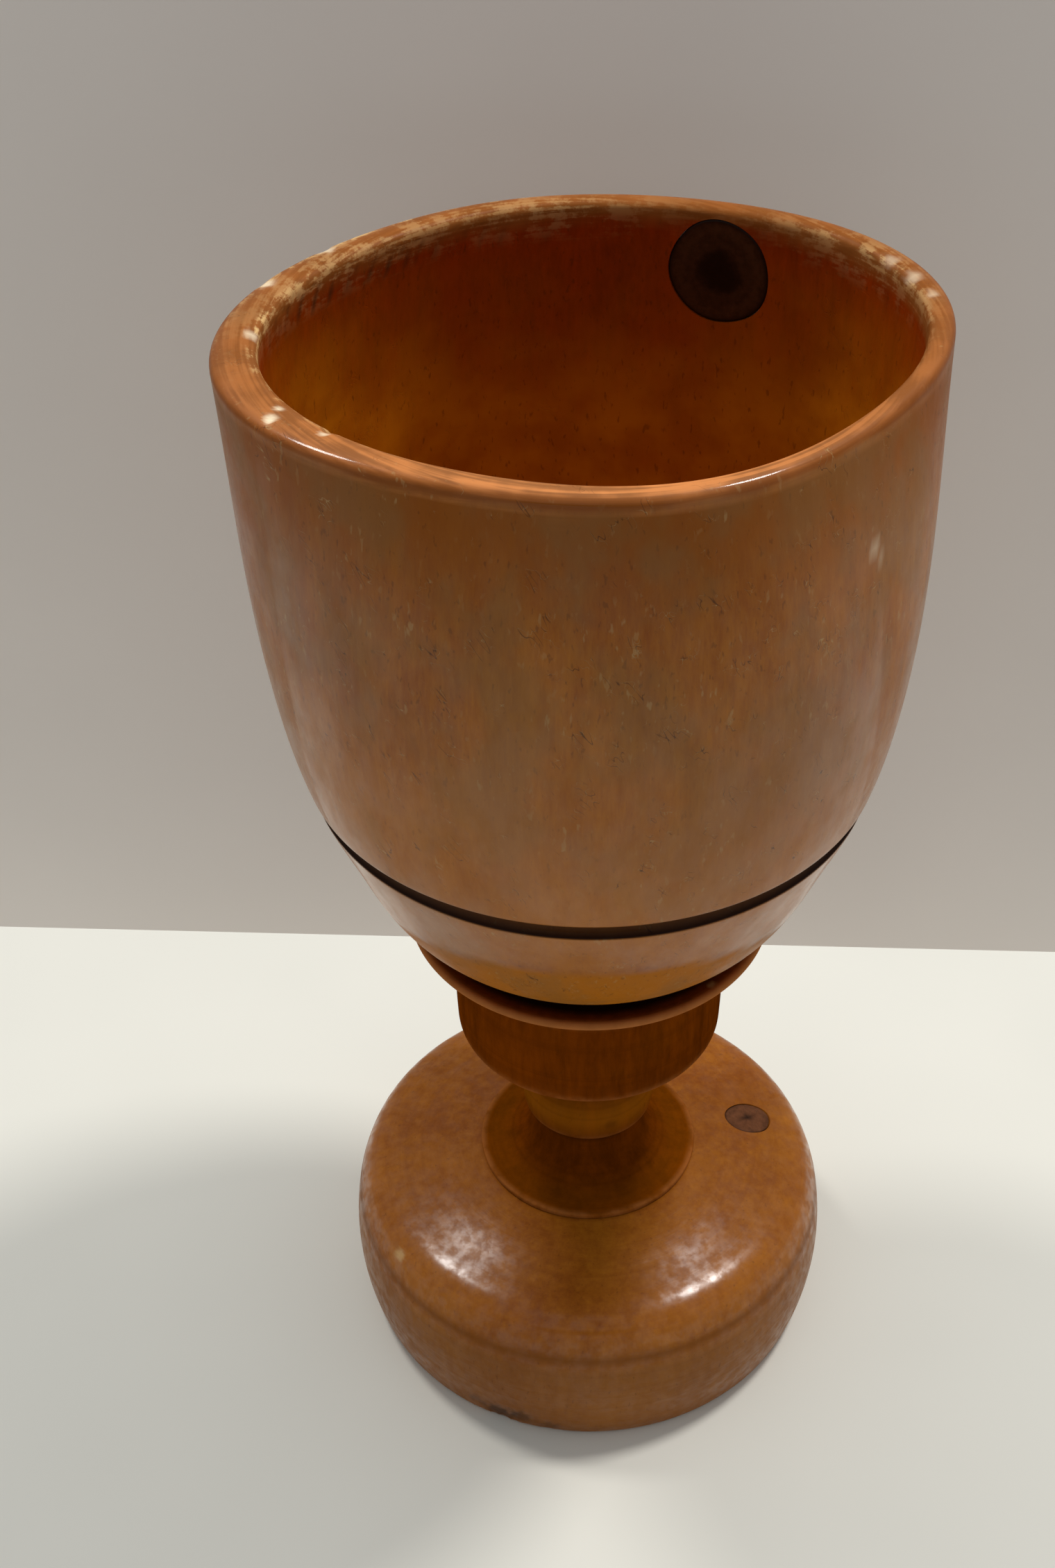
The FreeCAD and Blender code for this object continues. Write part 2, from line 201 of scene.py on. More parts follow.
FINE_STEP = 0.05       # spacing at which outlines are worked out
FLATNESS = 0.0022      # how far a finished outline may cut across a curve
NARROW, WIDE = 0.09, 1.3    # closest and widest spacing of a finished outline's points
SPACING_BLEND = 0.25   # length over which that spacing changes
TURNING_BLEND = 0.35   # length over which the turning of an outline is read
EDGE_SHOW = 1.1        # how strongly an outline's turning marks edges and hollows
TAPER = 0.06           # how much a branch widens over its length
KNOT_GAP = 0.05        # clearance round a knot

# A dent: its direction in degrees, its distance from the axis and height, its size, how deep it
# is, and its tone, pale above nought and dark below.
Dent = namedtuple("Dent", "turn radius height size depth tone")


def arc(start, end, bow):
    """Points on the arc that leaves the straight line from start to end by bow, outwards if positive."""
    start, end = np.array(start, float), np.array(end, float)
    chord = end - start
    length = np.hypot(*chord)
    share = np.linspace(-1, 1, max(3, int(length / FINE_STEP)))[:, None]
    middle = (start + end) / 2
    if bow == 0:
        return middle + chord / 2 * share
    outward = np.array([chord[1], -chord[0]]) / length * bow
    half = 2 * math.atan(2 * abs(bow) / length)
    sideways = np.sin(half * share) / math.sin(half)
    lift = (np.cos(half * share) - math.cos(half)) / (1 - math.cos(half))
    return middle + chord / 2 * sideways + outward * lift


def run(corners):
    """Chain of arcs through corners of (radius, height, bow of the run to the next corner)."""
    pieces = [arc(a[:2], b[:2], a[2]) for a, b in zip(corners, corners[1:])]
    return np.concatenate([pieces[0]] + [piece[1:] for piece in pieces[1:]])


def fair_curve(stations):
    """Smooth curve through a few (radius, height) stations.

    A natural cubic spline over the straight distances between the stations: its second
    derivative is continuous, and nought at both ends."""
    stations = np.array(stations, float)
    gaps = np.hypot(*np.diff(stations, axis=0).T)
    along = np.concatenate([[0], np.cumsum(gaps)])
    count = len(along)
    system, target = np.eye(count), np.zeros((count, 2))
    slopes = np.diff(stations, axis=0) / gaps[:, None]
    for i in range(1, count - 1):
        system[i, i - 1:i + 2] = gaps[i - 1], 2 * (gaps[i - 1] + gaps[i]), gaps[i]
        target[i] = 6 * (slopes[i] - slopes[i - 1])
    bend = np.linalg.solve(system, target)
    place = np.linspace(0, along[-1], int(along[-1] / FINE_STEP))
    i = np.clip(np.searchsorted(along, place) - 1, 0, count - 2)
    gap, before, after = gaps[i, None], (place - along[i])[:, None], (along[i + 1] - place)[:, None]
    return ((bend[i] * after ** 3 + bend[i + 1] * before ** 3) / (6 * gap)
            + (stations[i] / gap - bend[i] * gap / 6) * after
            + (stations[i + 1] / gap - bend[i + 1] * gap / 6) * before)


def bell(width):
    """Weights of a bell-shaped running mean over the fine steps of an outline."""
    reach = int(3 * width / FINE_STEP)
    weights = np.exp(-0.5 * (np.arange(-reach, reach + 1) * FINE_STEP / width) ** 2)
    return weights / weights.sum()


def softened(chain, width):
    """Running mean of (radius, height) along an outline; past its ends it is mirrored in the axis."""
    weights = bell(width)
    reach = len(weights) // 2
    radius = np.pad(chain[:, 0], reach, mode="reflect", reflect_type="odd")
    height = np.pad(chain[:, 1], reach, mode="reflect")
    return np.stack([np.convolve(radius, weights, "valid"), np.convolve(height, weights, "valid")], axis=1)


def turning_of(chain):
    """How sharply an outline turns, per millimetre: above nought on an edge, below it in a hollow."""
    first = np.gradient(chain, FINE_STEP, axis=0)
    second = np.gradient(first, FINE_STEP, axis=0)
    return first[:, 0] * second[:, 1] - first[:, 1] * second[:, 0]


def settle(points, varnish):
    """Finished outline: corners rounded as varnish rounds them, points closer where it bends.

    Columns are radius, height, turning, and whatever columns the points carried besides. The
    spacing is the length of chord that stays within FLATNESS of a circle of the same bend."""
    lengths = np.hypot(*np.diff(points[:, :2], axis=0).T)
    along = np.concatenate([[0], np.cumsum(lengths)])
    even = np.linspace(0, along[-1], int(along[-1] / FINE_STEP))
    fine = np.stack([np.interp(even, along, column) for column in points.T], axis=1)
    chain = softened(fine[:, :2], varnish)
    spacing = np.clip(np.sqrt(8 * FLATNESS / (np.abs(turning_of(chain)) + 1e-6)), NARROW, WIDE)
    blend = bell(SPACING_BLEND)
    density = np.convolve(np.pad(1 / spacing, len(blend) // 2, mode="edge"), blend, "valid")
    rank = np.concatenate([[0], np.cumsum((density[1:] + density[:-1]) / 2 * (even[1] - even[0]))])
    place = np.interp(np.linspace(0, rank[-1], int(rank[-1]) + 2), rank, even)
    columns = [chain[:, 0], chain[:, 1], turning_of(softened(fine[:, :2], TURNING_BLEND))] + list(fine.T[2:])
    outline = np.stack([np.interp(place, even, column) for column in columns], axis=1)
    outline[[0, -1], 0] = 0
    return outline


# ---------------------------------------------------------------- meshes

def lay_rings(name, rings):
    """Closed mesh of a stack of rings whose first and last rings have shrunk to points on the axis.

    Quads join each ring to the next and triangles close both ends, all facing outwards."""
    count = rings.shape[1]
    points = np.concatenate([rings[0, :1], rings[1:-1].reshape(-1, 3), rings[-1, :1]])
    corner = 1 + np.arange((len(rings) - 2) * count).reshape(-1, count)
    beside = np.roll(corner, -1, axis=1)
    quads = np.stack([corner[:-1], beside[:-1], beside[1:], corner[1:]], axis=-1).reshape(-1, 4)
    start, end = np.zeros(count, int), np.full(count, len(points) - 1)
    fans = np.concatenate([np.stack([start, beside[0], corner[0]], axis=-1),
                           np.stack([corner[-1], beside[-1], end], axis=-1)])
    mesh = bpy.data.meshes.new(name)
    mesh.from_pydata(points * MM, [], quads.tolist() + fans.tolist())
    mesh.shade_smooth()
    piece = bpy.data.objects.new(name, mesh)
    bpy.context.scene.collection.objects.link(piece)
    return piece


def ring_values(values):
    """Values on a stack of rings in the order of lay_rings' points."""
    return np.concatenate([values[0, :1], values[1:-1].reshape(-1), values[-1, :1]])


def mark(piece, name, values):
    """Store a number from 0 to 1 at every point of a piece for its material to read."""
    layer = piece.data.attributes.new(name, "FLOAT", "POINT")
    layer.data.foreach_set("value", np.clip(values, 0, 1).astype(np.float32))


def points_of(piece):
    """Places of a piece's points, in millimetres."""
    places = np.empty(len(piece.data.vertices) * 3, np.float32)
    piece.data.vertices.foreach_get("co", places)
    return places.reshape(-1, 3).astype(float) / MM


def angles_round(count, crowded=()):
    """Angles once round the axis, closer together near each (degrees, width in degrees, strength)."""
    even = np.linspace(-180, 180, 7200, endpoint=False)
    density = np.ones_like(even)
    for centre, width, strength in crowded:
        density += strength * np.exp(-0.5 * (wrapped(even - centre) / width) ** 2)
    rank = np.concatenate([[0], np.cumsum(density)])
    share = np.arange(count) / count * rank[-1]
    return np.radians(np.interp(share, rank, np.append(even, 180)))


def wrapped(degrees):
    """The same angle between -180 and 180 degrees."""
    return (degrees + 180) % 360 - 180


def closeness(places, dent):
    """1 in the middle of a dent, falling off steeply to 0 past its size."""
    turn = math.radians(dent.turn)
    centre = np.array([dent.radius * math.cos(turn), dent.radius * math.sin(turn), dent.height])
    ragged = 1 + 0.25 * np.sin(places[..., 0] * 5.1 + dent.turn) * np.cos(places[..., 2] * 7.3)
    return np.exp(-(np.linalg.norm(places - centre, axis=-1) / (dent.size * ragged)) ** 4)


def pressed(rings, dents):
    """Push a surface in along its normals by the depth of each dent."""
    down = np.gradient(rings, axis=0)
    across = np.roll(rings, -1, axis=1) - np.roll(rings, 1, axis=1)
    normals = np.cross(across, down)
    normals /= np.linalg.norm(normals, axis=2, keepdims=True) + 1e-9
    depth = sum(dent.depth * closeness(rings, dent) for dent in dents)
    return rings - normals * depth[..., None]


def tone_of(places, dents, sign):
    """How strongly the dents of one sign, pale (1) or dark (-1), show at each place."""
    shown = [closeness(places, dent) * abs(dent.tone) for dent in dents if dent.tone * sign > 0]
    return sum(shown) if shown else np.zeros(places.shape[:-1])


def spun(radius, angles, height):
    """Carry radii and heights round the axis: radius times cosine and sine of the angle, and the height."""
    return np.stack([radius * np.cos(angles), radius * np.sin(angles), height + 0 * angles], axis=2)


def turned_piece(name, outline, dents, count):
    """Turned piece with its dents and the marks its varnish reads: edge, hollow, bare and dark."""
    radius, height, turning = (outline[:, k, None] for k in range(3))
    piece = lay_rings(name, pressed(spun(radius, angles_round(count), height), dents))
    turning = np.repeat(turning, count, axis=1)
    mark(piece, "edge", ring_values(turning * EDGE_SHOW))
    mark(piece, "hollow", ring_values(turning * -EDGE_SHOW))
    places = points_of(piece)
    mark(piece, "bare", tone_of(places, dents, 1))
    mark(piece, "dark", tone_of(places, dents, -1))
    return piece


def meet(origin, direction, gap, guess):
    """Distance along each ray at which gap() becomes nought, by repeated secant steps."""
    distance, probe = np.array(guess, float), 0.01
    for _ in range(14):
        here = gap(origin + distance[..., None] * direction)
        ahead = gap(origin + (distance + probe)[..., None] * direction)
        distance = distance - np.clip(here * probe / (ahead - here), -2, 2)
    return distance


class Branch:
    """A tapered branch stub: its middle, the way it grows, its radius and its uneven outline."""

    def __init__(self, middle, growth, radius, tall=1.0):
        self.middle, self.growth = np.array(middle, float), np.array(growth, float)
        self.growth /= np.linalg.norm(self.growth)
        self.radius, self.tall = radius, tall
        self.side = np.cross([0, 0, 1], self.growth)
        self.side /= np.linalg.norm(self.side)
        self.top = np.cross(self.growth, self.side)
        self.angles = np.linspace(0, 2 * math.pi, 120, endpoint=False)

    def rays(self, share, extra=0.0):
        """Start and direction of the straight fibres at each share of the radius, once round."""
        uneven = 1 + 0.014 * np.cos(3 * self.angles + 2.0) + 0.008 * np.cos(5 * self.angles)
        spoke = (np.outer(uneven * np.cos(self.angles), self.side)
                 + np.outer(uneven * np.sin(self.angles), self.top * self.tall))
        share = np.reshape(share, (-1, 1, 1))
        return (self.middle + share * spoke * (self.radius + extra),
                self.growth + share * spoke * TAPER)

    def pocket(self, start, end):
        """Cutter for the pocket: the branch's cone, wider by a clearance, from start to end."""
        origin, direction = self.rays([0, 1, 1, 0], KNOT_GAP)
        along = np.array([start, start, end, end]).reshape(-1, 1, 1)
        return lay_rings("pocket", origin + along * direction)

    def plug(self, name, first_gap, last_gap, reach):
        """The stub between two surfaces, each given by its gap or by a plain distance.

        Both faces follow their surface, sunk by a hair and rounded at the crack round the knot."""
        share = np.concatenate([np.linspace(0, 0.9, 34), np.linspace(0.92, 1, 9)])
        origin, direction = self.rays(share)
        sunk = 0.02 + 0.14 * np.clip((share - 0.95) / 0.05, 0, 1)[:, None] ** 2
        faces = []
        for gap, side in ((first_gap, -1), (last_gap, 1)):
            guess = np.full(origin.shape[:2], side * reach, float)
            place = guess if gap is None else meet(origin, direction, gap, guess)
            faces.append(origin + (place - side * sunk)[..., None] * direction)
        wall = [faces[0][-1] + (faces[1][-1] - faces[0][-1]) * part for part in (0.25, 0.5, 0.75)]
        rings = np.concatenate([faces[0], np.stack(wall), faces[1][::-1]])
        piece = lay_rings(name, rings)
        piece.data.set_sharp_from_angle(angle=math.radians(50))
        across = np.concatenate([share, [1, 1, 1], share[::-1]])
        mark(piece, "heart", ring_values(np.repeat(across[:, None], len(self.angles), axis=1)))
        return piece


def cut_pocket(piece, cutter):
    """Cut a pocket into a piece, exactly, and leave its edges sharp."""
    cut = piece.modifiers.new("pocket", "BOOLEAN")
    cut.operation, cut.solver, cut.object = "DIFFERENCE", "EXACT", cutter
    evaluated = piece.evaluated_get(bpy.context.evaluated_depsgraph_get())
    mesh = bpy.data.meshes.new_from_object(evaluated)
    piece.modifiers.clear()
    old, piece.data = piece.data, mesh
    mesh.name = piece.name
    bpy.data.meshes.remove(old)
    bpy.data.objects.remove(cutter)
    mesh.set_sharp_from_angle(angle=math.radians(42))


# ---------------------------------------------------------------- shapes of this goblet

SOCKET_RADIUS, SOCKET_DEPTH = 6.0, 12.0              # socket in the foot
BOWL_SOCKET_RADIUS, BOWL_SOCKET_DEPTH = 6.5, 10.0    # socket in the top of the stem
GLUE_GAP, END_GAP = 0.1, 0.6
LIP_INSET, LIP_DROP = 0.95, 0.4                      # how much slimmer and lower the collar's lip is
FLANK_INNER = 24.5         # past this radius a point of the foot is on its side
DISC_RADIUS, DISC_EDGE = 12.2, 0.7
BOWL_FOOT_RADIUS = 12.75
WAIST_HEIGHT = 20.5        # seat of the bowl to just under the groove
GROOVE_HEIGHT = 21.5       # seat of the bowl to the middle of the groove
BELLY_HEIGHT = 46          # seat of the bowl to its widest part
FLOOR_HEIGHT = 9.3         # seat of the bowl to just under the floor of its hollow
FLARE = 0.13               # how much wider the lip is than the rim's mean radius
RIM_DROP = 0.75            # how far the mean rim is below its highest point
RIM_ROUND = 1.05           # height of the rounding over the rim
LEAN = 0.006               # share of its radius by which the rim has moved to the left
BOWL_KNOT_TURN, BOWL_KNOT_HEIGHT = 63.1, 60.0        # in degrees, and from the seat of the bowl
FOOT_KNOT_RADIUS, FOOT_KNOT_DEPTH = 19.1, 8.0        # from the axis, and along the branch

FOOT_DENTS = [
    Dent(-145, 25.6, 17.0, 0.75, 0.10, 0.75),
    Dent(-112, 26.9, 1.4, 1.9, 0.22, -0.9),
    Dent(-106, 26.9, 2.2, 1.5, 0.15, -0.7),
    Dent(-118, 27.0, 2.6, 1.1, 0.10, -0.5),
    Dent(-99, 26.7, 1.2, 1.3, 0.10, -0.5),
]
STEM_DENTS_AND_GLINT = [
    Dent(-70, 7.3, SEAT + 9.6, 0.7, 0.06, -0.35),
    # painted highlight: a lamp's glint on the collar's dish, made as a pale dent
    Dent(-46, 17.5, COLLAR_TOP - 0.6, 0.55, 0.02, 0.45),
]
BOWL_DENTS = [
    Dent(-147.5, 30.2, RIM_HEIGHT - 0.9, 0.62, 0.20, 1.0),
    Dent(-149.5, 28.9, RIM_HEIGHT - 0.55, 0.42, 0.10, 0.9),
    Dent(-139.5, 27.0, RIM_HEIGHT - 0.8, 0.62, 0.22, -0.8),
    Dent(-138.5, 27.9, RIM_HEIGHT - 0.7, 0.40, 0.08, 0.9),
    Dent(20, 30.2, RIM_HEIGHT - 1.1, 0.8, 0.10, 0.5),
    Dent(27, 30.0, RIM_HEIGHT - 1.0, 0.7, 0.10, 0.45),
    Dent(13, 30.4, RIM_HEIGHT - 1.2, 0.6, 0.08, 0.4),
    Dent(150, 28.0, RIM_HEIGHT - 0.4, 0.9, 0.12, 0.8),
    Dent(166, 29.6, RIM_HEIGHT - 0.5, 0.8, 0.12, 0.8),
    Dent(-176, 29.0, RIM_HEIGHT - 0.8, 0.6, 0.10, 0.7),
    Dent(-37.3, 28.8, 112.0, 0.75, 0.06, 0.40),
    Dent(-35.8, 28.8, 110.4, 0.55, 0.05, 0.35),
    Dent(-34.0, 28.9, 105.5, 0.45, 0.05, 0.30),
    Dent(-32.5, 28.8, 101.0, 0.40, 0.05, 0.30),
    Dent(-145.2, 28.6, 119.0, 0.65, 0.06, 0.35),
    Dent(-147.5, 28.6, 117.2, 0.50, 0.05, 0.30),
    Dent(-104.8, 28.6, 95.3, 0.40, 0.05, -0.45),
    Dent(-102.9, 28.5, 93.7, 0.42, 0.06, -0.50),
    Dent(-101.0, 28.4, 92.2, 0.35, 0.05, -0.45),
    Dent(-91.2, 28.8, 99.0, 0.32, 0.04, -0.35),
    Dent(-89.0, 28.7, 96.7, 0.36, 0.05, -0.45),
    Dent(-86.8, 28.5, 94.4, 0.34, 0.04, -0.40),
    Dent(-82.9, 27.9, 84.1, 0.22, 0.03, 0.80),
]


def foot_outline(sizes):
    """Foot from the middle of its base, up the flank, over the dome and down into the socket."""
    wide = sizes.foot_radius / MM
    shoulder = sizes.shoulder_height / MM
    under = run([(0, 0, 0), (wide - 1.85, 0, 0.17), (wide - 1.15, 0.7, 0.8), (wide - 0.5, shoulder, 0)])
    dome = fair_curve([(wide - 0.5, shoulder), (wide - 2.1, shoulder + 3.45), (wide - 5.9, shoulder + 4.8),
                       (wide - 10, shoulder + 5.7), (DISC_RADIUS + 0.5, SEAT)])
    socket = run([(DISC_RADIUS + 0.5, SEAT, 0), (SOCKET_RADIUS, SEAT, 0),
                  (SOCKET_RADIUS, SEAT - SOCKET_DEPTH, 0), (0, SEAT - SOCKET_DEPTH, 0)])
    return settle(np.concatenate([under, dome[1:], socket[1:]]), varnish=0.30)


def stem_outline(sizes):
    """Stem from the end of its spigot up over disc, cove, bead, knop and collar into the top socket."""
    neck, knop = sizes.neck_radius / MM, sizes.knop_radius / MM
    rim, top = sizes.collar_radius / MM - LIP_INSET, COLLAR_TOP - LIP_DROP
    spigot = SOCKET_RADIUS - GLUE_GAP
    return settle(run([
        (0, SEAT - SOCKET_DEPTH + END_GAP, 0),
        (spigot, SEAT - SOCKET_DEPTH + END_GAP, 0),
        (spigot, SEAT, 0),
        (DISC_RADIUS, SEAT, 0.05),
        (DISC_RADIUS, SEAT + DISC_EDGE, -1.9),
        (neck, SEAT + 6.4, 0),
        (neck + 1.0, SEAT + 7.5, 0.55),
        (neck + 0.4, SEAT + 14.2, -1.5),
        (knop - 1.1, SEAT + 20.6, 0.32),
        (knop, SEAT + 21.7, 0.12),
        (knop, SEAT + 32.2, 0.32),
        (knop - 1.1, SEAT + 33.3, -0.75),
        (rim, top - 0.9, 0.35),
        (rim, top, -0.25),
        (BOWL_FOOT_RADIUS + 0.3, BOWL_SEAT, 0),
        (BOWL_SOCKET_RADIUS, BOWL_SEAT, 0),
        (BOWL_SOCKET_RADIUS, BOWL_SEAT - BOWL_SOCKET_DEPTH, 0),
        (0, BOWL_SEAT - BOWL_SOCKET_DEPTH, 0),
    ]), varnish=0.11)


class Cup:
    """The bowl's outer and inner curves, and how its wall has warped."""

    def __init__(self, sizes):
        belly, rim, wall = sizes.belly_radius / MM, sizes.rim_radius / MM, sizes.rim_wall / MM
        self.oval = sizes.oval
        self.groove = sizes.groove_radius / MM
        self.rim_top = RIM_HEIGHT - RIM_DROP
        lip = self.rim_top - RIM_ROUND
        self.outer = fair_curve([
            (BOWL_FOOT_RADIUS, BOWL_SEAT), (17.75, BOWL_SEAT + 3.1), (21.7, BOWL_SEAT + 7.3),
            (25.0, BOWL_SEAT + 14.5), (27.4, BOWL_SEAT + WAIST_HEIGHT), (belly - 0.75, BOWL_SEAT + 31.4),
            (belly, BOWL_SEAT + BELLY_HEIGHT), (rim + FLARE, lip)])
        self.inner = fair_curve([
            (0, BOWL_SEAT + 9.4), (10, BOWL_SEAT + 9.7), (18.35, BOWL_SEAT + 13.3),
            (23.2, BOWL_SEAT + WAIST_HEIGHT), (belly - 4.25, BOWL_SEAT + 31.4),
            (belly - 3.1, BOWL_SEAT + BELLY_HEIGHT), (rim - wall + FLARE, lip)])
        share = np.linspace(0, 1, 90)[:, None]
        height = (1 - np.abs(2 * share - 1) ** 2.5) ** (1 / 2.5)
        self.arch = np.concatenate([
            rim + FLARE - wall * share, lip + RIM_ROUND * height, share], axis=1)[1:-1]

    def rise(self, height):
        """0 at the waist and below, 1 at the rim; most of the warp is near the rim."""
        waist = BOWL_SEAT + 3.3
        return np.clip((height - waist) / (self.rim_top - waist), 0, None) ** 3.3

    def warp(self, angle, height):
        """Share by which the wall has moved out: an oval with a little of three and four lobes."""
        lobes = (self.oval * np.cos(2 * (angle - math.radians(18.2)))
                 + 0.014 * np.cos(3 * (angle - math.radians(50.6)))
                 + 0.0225 * np.cos(4 * (angle - math.radians(17.9))))
        waist = BOWL_SEAT + WAIST_HEIGHT
        climb = np.clip((height - waist) / (self.rim_top - waist), 0, None)
        return self.rise(height) * lobes - LEAN * climb * np.cos(angle)

    def tilt(self, angle, height):
        """How far the warped rim has lifted: highest at the back left."""
        return RIM_DROP * np.cos(angle - math.radians(130)) * self.rise(height)

    def uneven(self, angle, height):
        """Extra wall over the mean: thick at the left and front left, thin at the right."""
        thick = 0.75 * np.exp(-0.5 * (wrapped(np.degrees(angle) + 150) / 17) ** 2)
        fade = np.clip((height - BOWL_SEAT - 25) / (self.rim_top - BOWL_SEAT - 25), 0, 1) ** 1.3
        return fade * (thick - 0.62 * np.cos(angle))

    def radius(self, angle, height, inside):
        """Distance from the axis of the outer (0) or inner (1) surface at a height."""
        nominal = height - self.tilt(angle, height)
        curve = self.inner if inside else self.outer
        turned = np.interp(nominal, curve[:, 1], curve[:, 0])
        return turned * (1 + self.warp(angle, nominal)) - inside * self.uneven(angle, nominal)

    def outline(self):
        """Closed outline: spigot, outer curve with its groove, arch of the rim and the hollow."""
        spigot = BOWL_SOCKET_RADIUS - GLUE_GAP
        low = BOWL_SEAT - BOWL_SOCKET_DEPTH + END_GAP
        base = run([(0, low, 0), (spigot, low, 0), (spigot, BOWL_SEAT, 0),
                    (BOWL_FOOT_RADIUS, BOWL_SEAT, 0)])
        height = BOWL_SEAT + GROOVE_HEIGHT
        middle = np.array([np.interp(height, self.outer[:, 1], self.outer[:, 0]), height])
        slope = np.gradient(self.outer, axis=0)
        outward = np.stack([slope[:, 1], -slope[:, 0]], axis=1) / np.linalg.norm(slope, axis=1)[:, None]
        away = np.linalg.norm(self.outer - middle, axis=1)
        depth = np.sqrt(np.clip(self.groove ** 2 - away ** 2, 0, None))
        outer = self.outer - outward * depth[:, None]
        chain = [np.pad(part, ((0, 0), (0, 1)), constant_values=side)
                 for part, side in ((base, 0), (outer[1:], 0), (self.inner[::-1], 1))]
        return settle(np.concatenate([chain[0], chain[1], self.arch, chain[2]]), varnish=0.10)

    def rings(self, outline, angles):
        """The outline carried round the axis, then warped, tilted and thickened."""
        radius, height, side = (outline[:, k, None] for k in (0, 1, 3))
        radius = radius * (1 + self.warp(angles, height)) - side * self.uneven(angles, height)
        return spun(radius, angles, height + self.tilt(angles, height))


def bowl_branch(sizes, cup):
    """The branch through the bowl's wall: level, and just under the rim."""
    turn, height = math.radians(BOWL_KNOT_TURN), BOWL_SEAT + BOWL_KNOT_HEIGHT
    reach = cup.radius(np.array(turn), height, 0) - 1.4
    growth = [math.cos(turn), math.sin(turn), 0]
    return Branch([reach * growth[0], reach * growth[1], height], growth,
                  sizes.bowl_knot_radius / MM, tall=1.10)


def foot_branch(sizes, outline):
    """The branch in the foot: it leans outwards and comes up through the dome."""
    turn, slant, radius = math.radians(12), math.radians(46), FOOT_KNOT_RADIUS
    dome = outline[(outline[:, 1] > sizes.shoulder_height / MM) & (outline[:, 0] > DISC_RADIUS)]
    height = np.interp(radius, dome[::-1, 0], dome[::-1, 1])
    growth = [math.sin(slant) * math.cos(turn), math.sin(slant) * math.sin(turn), math.cos(slant)]
    branch = Branch([radius * math.cos(turn), radius * math.sin(turn), height], growth,
                    sizes.foot_knot_radius / MM)

    def above_dome(places):
        """Height of each place over the dome."""
        return places[..., 2] - np.interp(np.hypot(places[..., 0], places[..., 1]),
                                          dome[::-1, 0], dome[::-1, 1])
    return branch, above_dome


# ---------------------------------------------------------------- material helpers

class Nodes:
    """A node tree and short ways to fill it. Any value may be a number, a colour or a socket."""

    def __init__(self, tree):
        self.tree = tree

    def add(self, kind, values=(), **settings):
        """Place a node. A socket among its values is joined to the input, anything else is set on it."""
        made = self.tree.nodes.new(kind)
        for key, value in settings.items():
            setattr(made, key, value)
        for key, value in dict(values).items():
            if isinstance(value, bpy.types.NodeSocket):
                self.tree.links.new(value, made.inputs[key])
            else:
                made.inputs[key].default_value = value
        return made

    def calc(self, operation, *values, clamp=False):
        """Result of one sum on its values in order."""
        return self.add("ShaderNodeMath", dict(enumerate(values)), operation=operation,
                        use_clamp=clamp).outputs[0]

    def times(self, first, second):
        """Product of two values."""
        return self.calc("MULTIPLY", first, second)

    def plus(self, first, second, clamp=False):
        """Sum of two values."""
        return self.calc("ADD", first, second, clamp=clamp)

    def less(self, share):
        """What a share leaves of 1."""
        return self.calc("SUBTRACT", 1.0, share)

    def ease(self, value, low, high, start=0.0, end=1.0):
        """Ease a value from low..high to start..end."""
        return self.add("ShaderNodeMapRange",
                        {"Value": value, "From Min": low, "From Max": high, "To Min": start, "To Max": end},
                        interpolation_type="SMOOTHSTEP").outputs["Result"]

    def mix(self, share, first, second):
        """Mix two colours by a share."""
        return self.add("ShaderNodeMix", {0: share, 6: first, 7: second}, data_type="RGBA").outputs[2]

    def stretched(self, place, *scale):
        """A place stretched along X, Y and Z before a pattern is read there."""
        return self.add("ShaderNodeMapping", {"Vector": place, "Scale": scale}).outputs[0]

    def noise(self, place, scale, detail=3.0, roughness=0.55):
        """Soft random pattern, scale counted per unit of the place."""
        return self.add("ShaderNodeTexNoise", {
            "Vector": place, "Scale": scale, "Detail": detail, "Roughness": roughness}).outputs[0]


class Effect(Nodes):
    """A shared group in the making: its input sockets in entry, its output sockets in leave."""

    def __init__(self, name, inputs, outputs):
        super().__init__(bpy.data.node_groups.new(name, "ShaderNodeTree"))
        new_socket = self.tree.interface.new_socket
        for label, kind, value in [("Place", "Vector", None)] + inputs:
            socket = new_socket(label, in_out="INPUT", socket_type="NodeSocket" + kind)
            if value is not None:
                socket.default_value = value
        for label, kind in outputs:
            new_socket(label, in_out="OUTPUT", socket_type="NodeSocket" + kind)
        self.entry = self.add("NodeGroupInput").outputs
        self.leave = self.add("NodeGroupOutput").inputs

    def put_out(self, **values):
        """Join each value to the output of its name."""
        for name, value in values.items():
            self.tree.links.new(value, self.leave[name])
        return self.tree


def make_figure():
    """Figure of the wood: upright streaks, broad clouds and fine fibres between two colours."""
    made = Effect("wood_figure",
                  [("Pale", "Color", None), ("Deep", "Color", None), ("Streak", "Float", 0.5),
                   ("Fibre", "Float", 0.3)],
                  [("Colour", "Color"), ("Height", "Float")])
    place = made.entry["Place"]
    sway = made.add("ShaderNodeTexNoise", {"Vector": place, "Scale": 0.035, "Detail": 1.0}).outputs[1]
    bent = made.add("ShaderNodeVectorMath", {0: place, 1: sway}, operation="ADD").outputs[0]
    streak = made.noise(made.stretched(bent, 1, 1, 0.06), 0.55, 5.0, 0.6)
    cloud = made.noise(made.stretched(place, 1, 1, 0.55), 0.075)
    fibre = made.noise(made.stretched(place, 1, 1, 0.10), 3.4, 4.0, 0.65)
    dash = made.noise(made.stretched(place, 1, 1, 0.30), 1.15, 4.0, 0.7)
    mottled = made.plus(made.times(cloud, 0.55), made.times(dash, 0.45))
    for pattern, strength in ((streak, "Streak"), (fibre, "Fibre")):
        swing = made.calc("SUBTRACT", pattern, 0.5)
        mottled = made.calc("MULTIPLY_ADD", swing, made.entry[strength], mottled)
    share = made.ease(mottled, 0.22, 0.80)
    return made.put_out(Colour=made.mix(share, made.entry["Deep"], made.entry["Pale"]), Height=fibre)


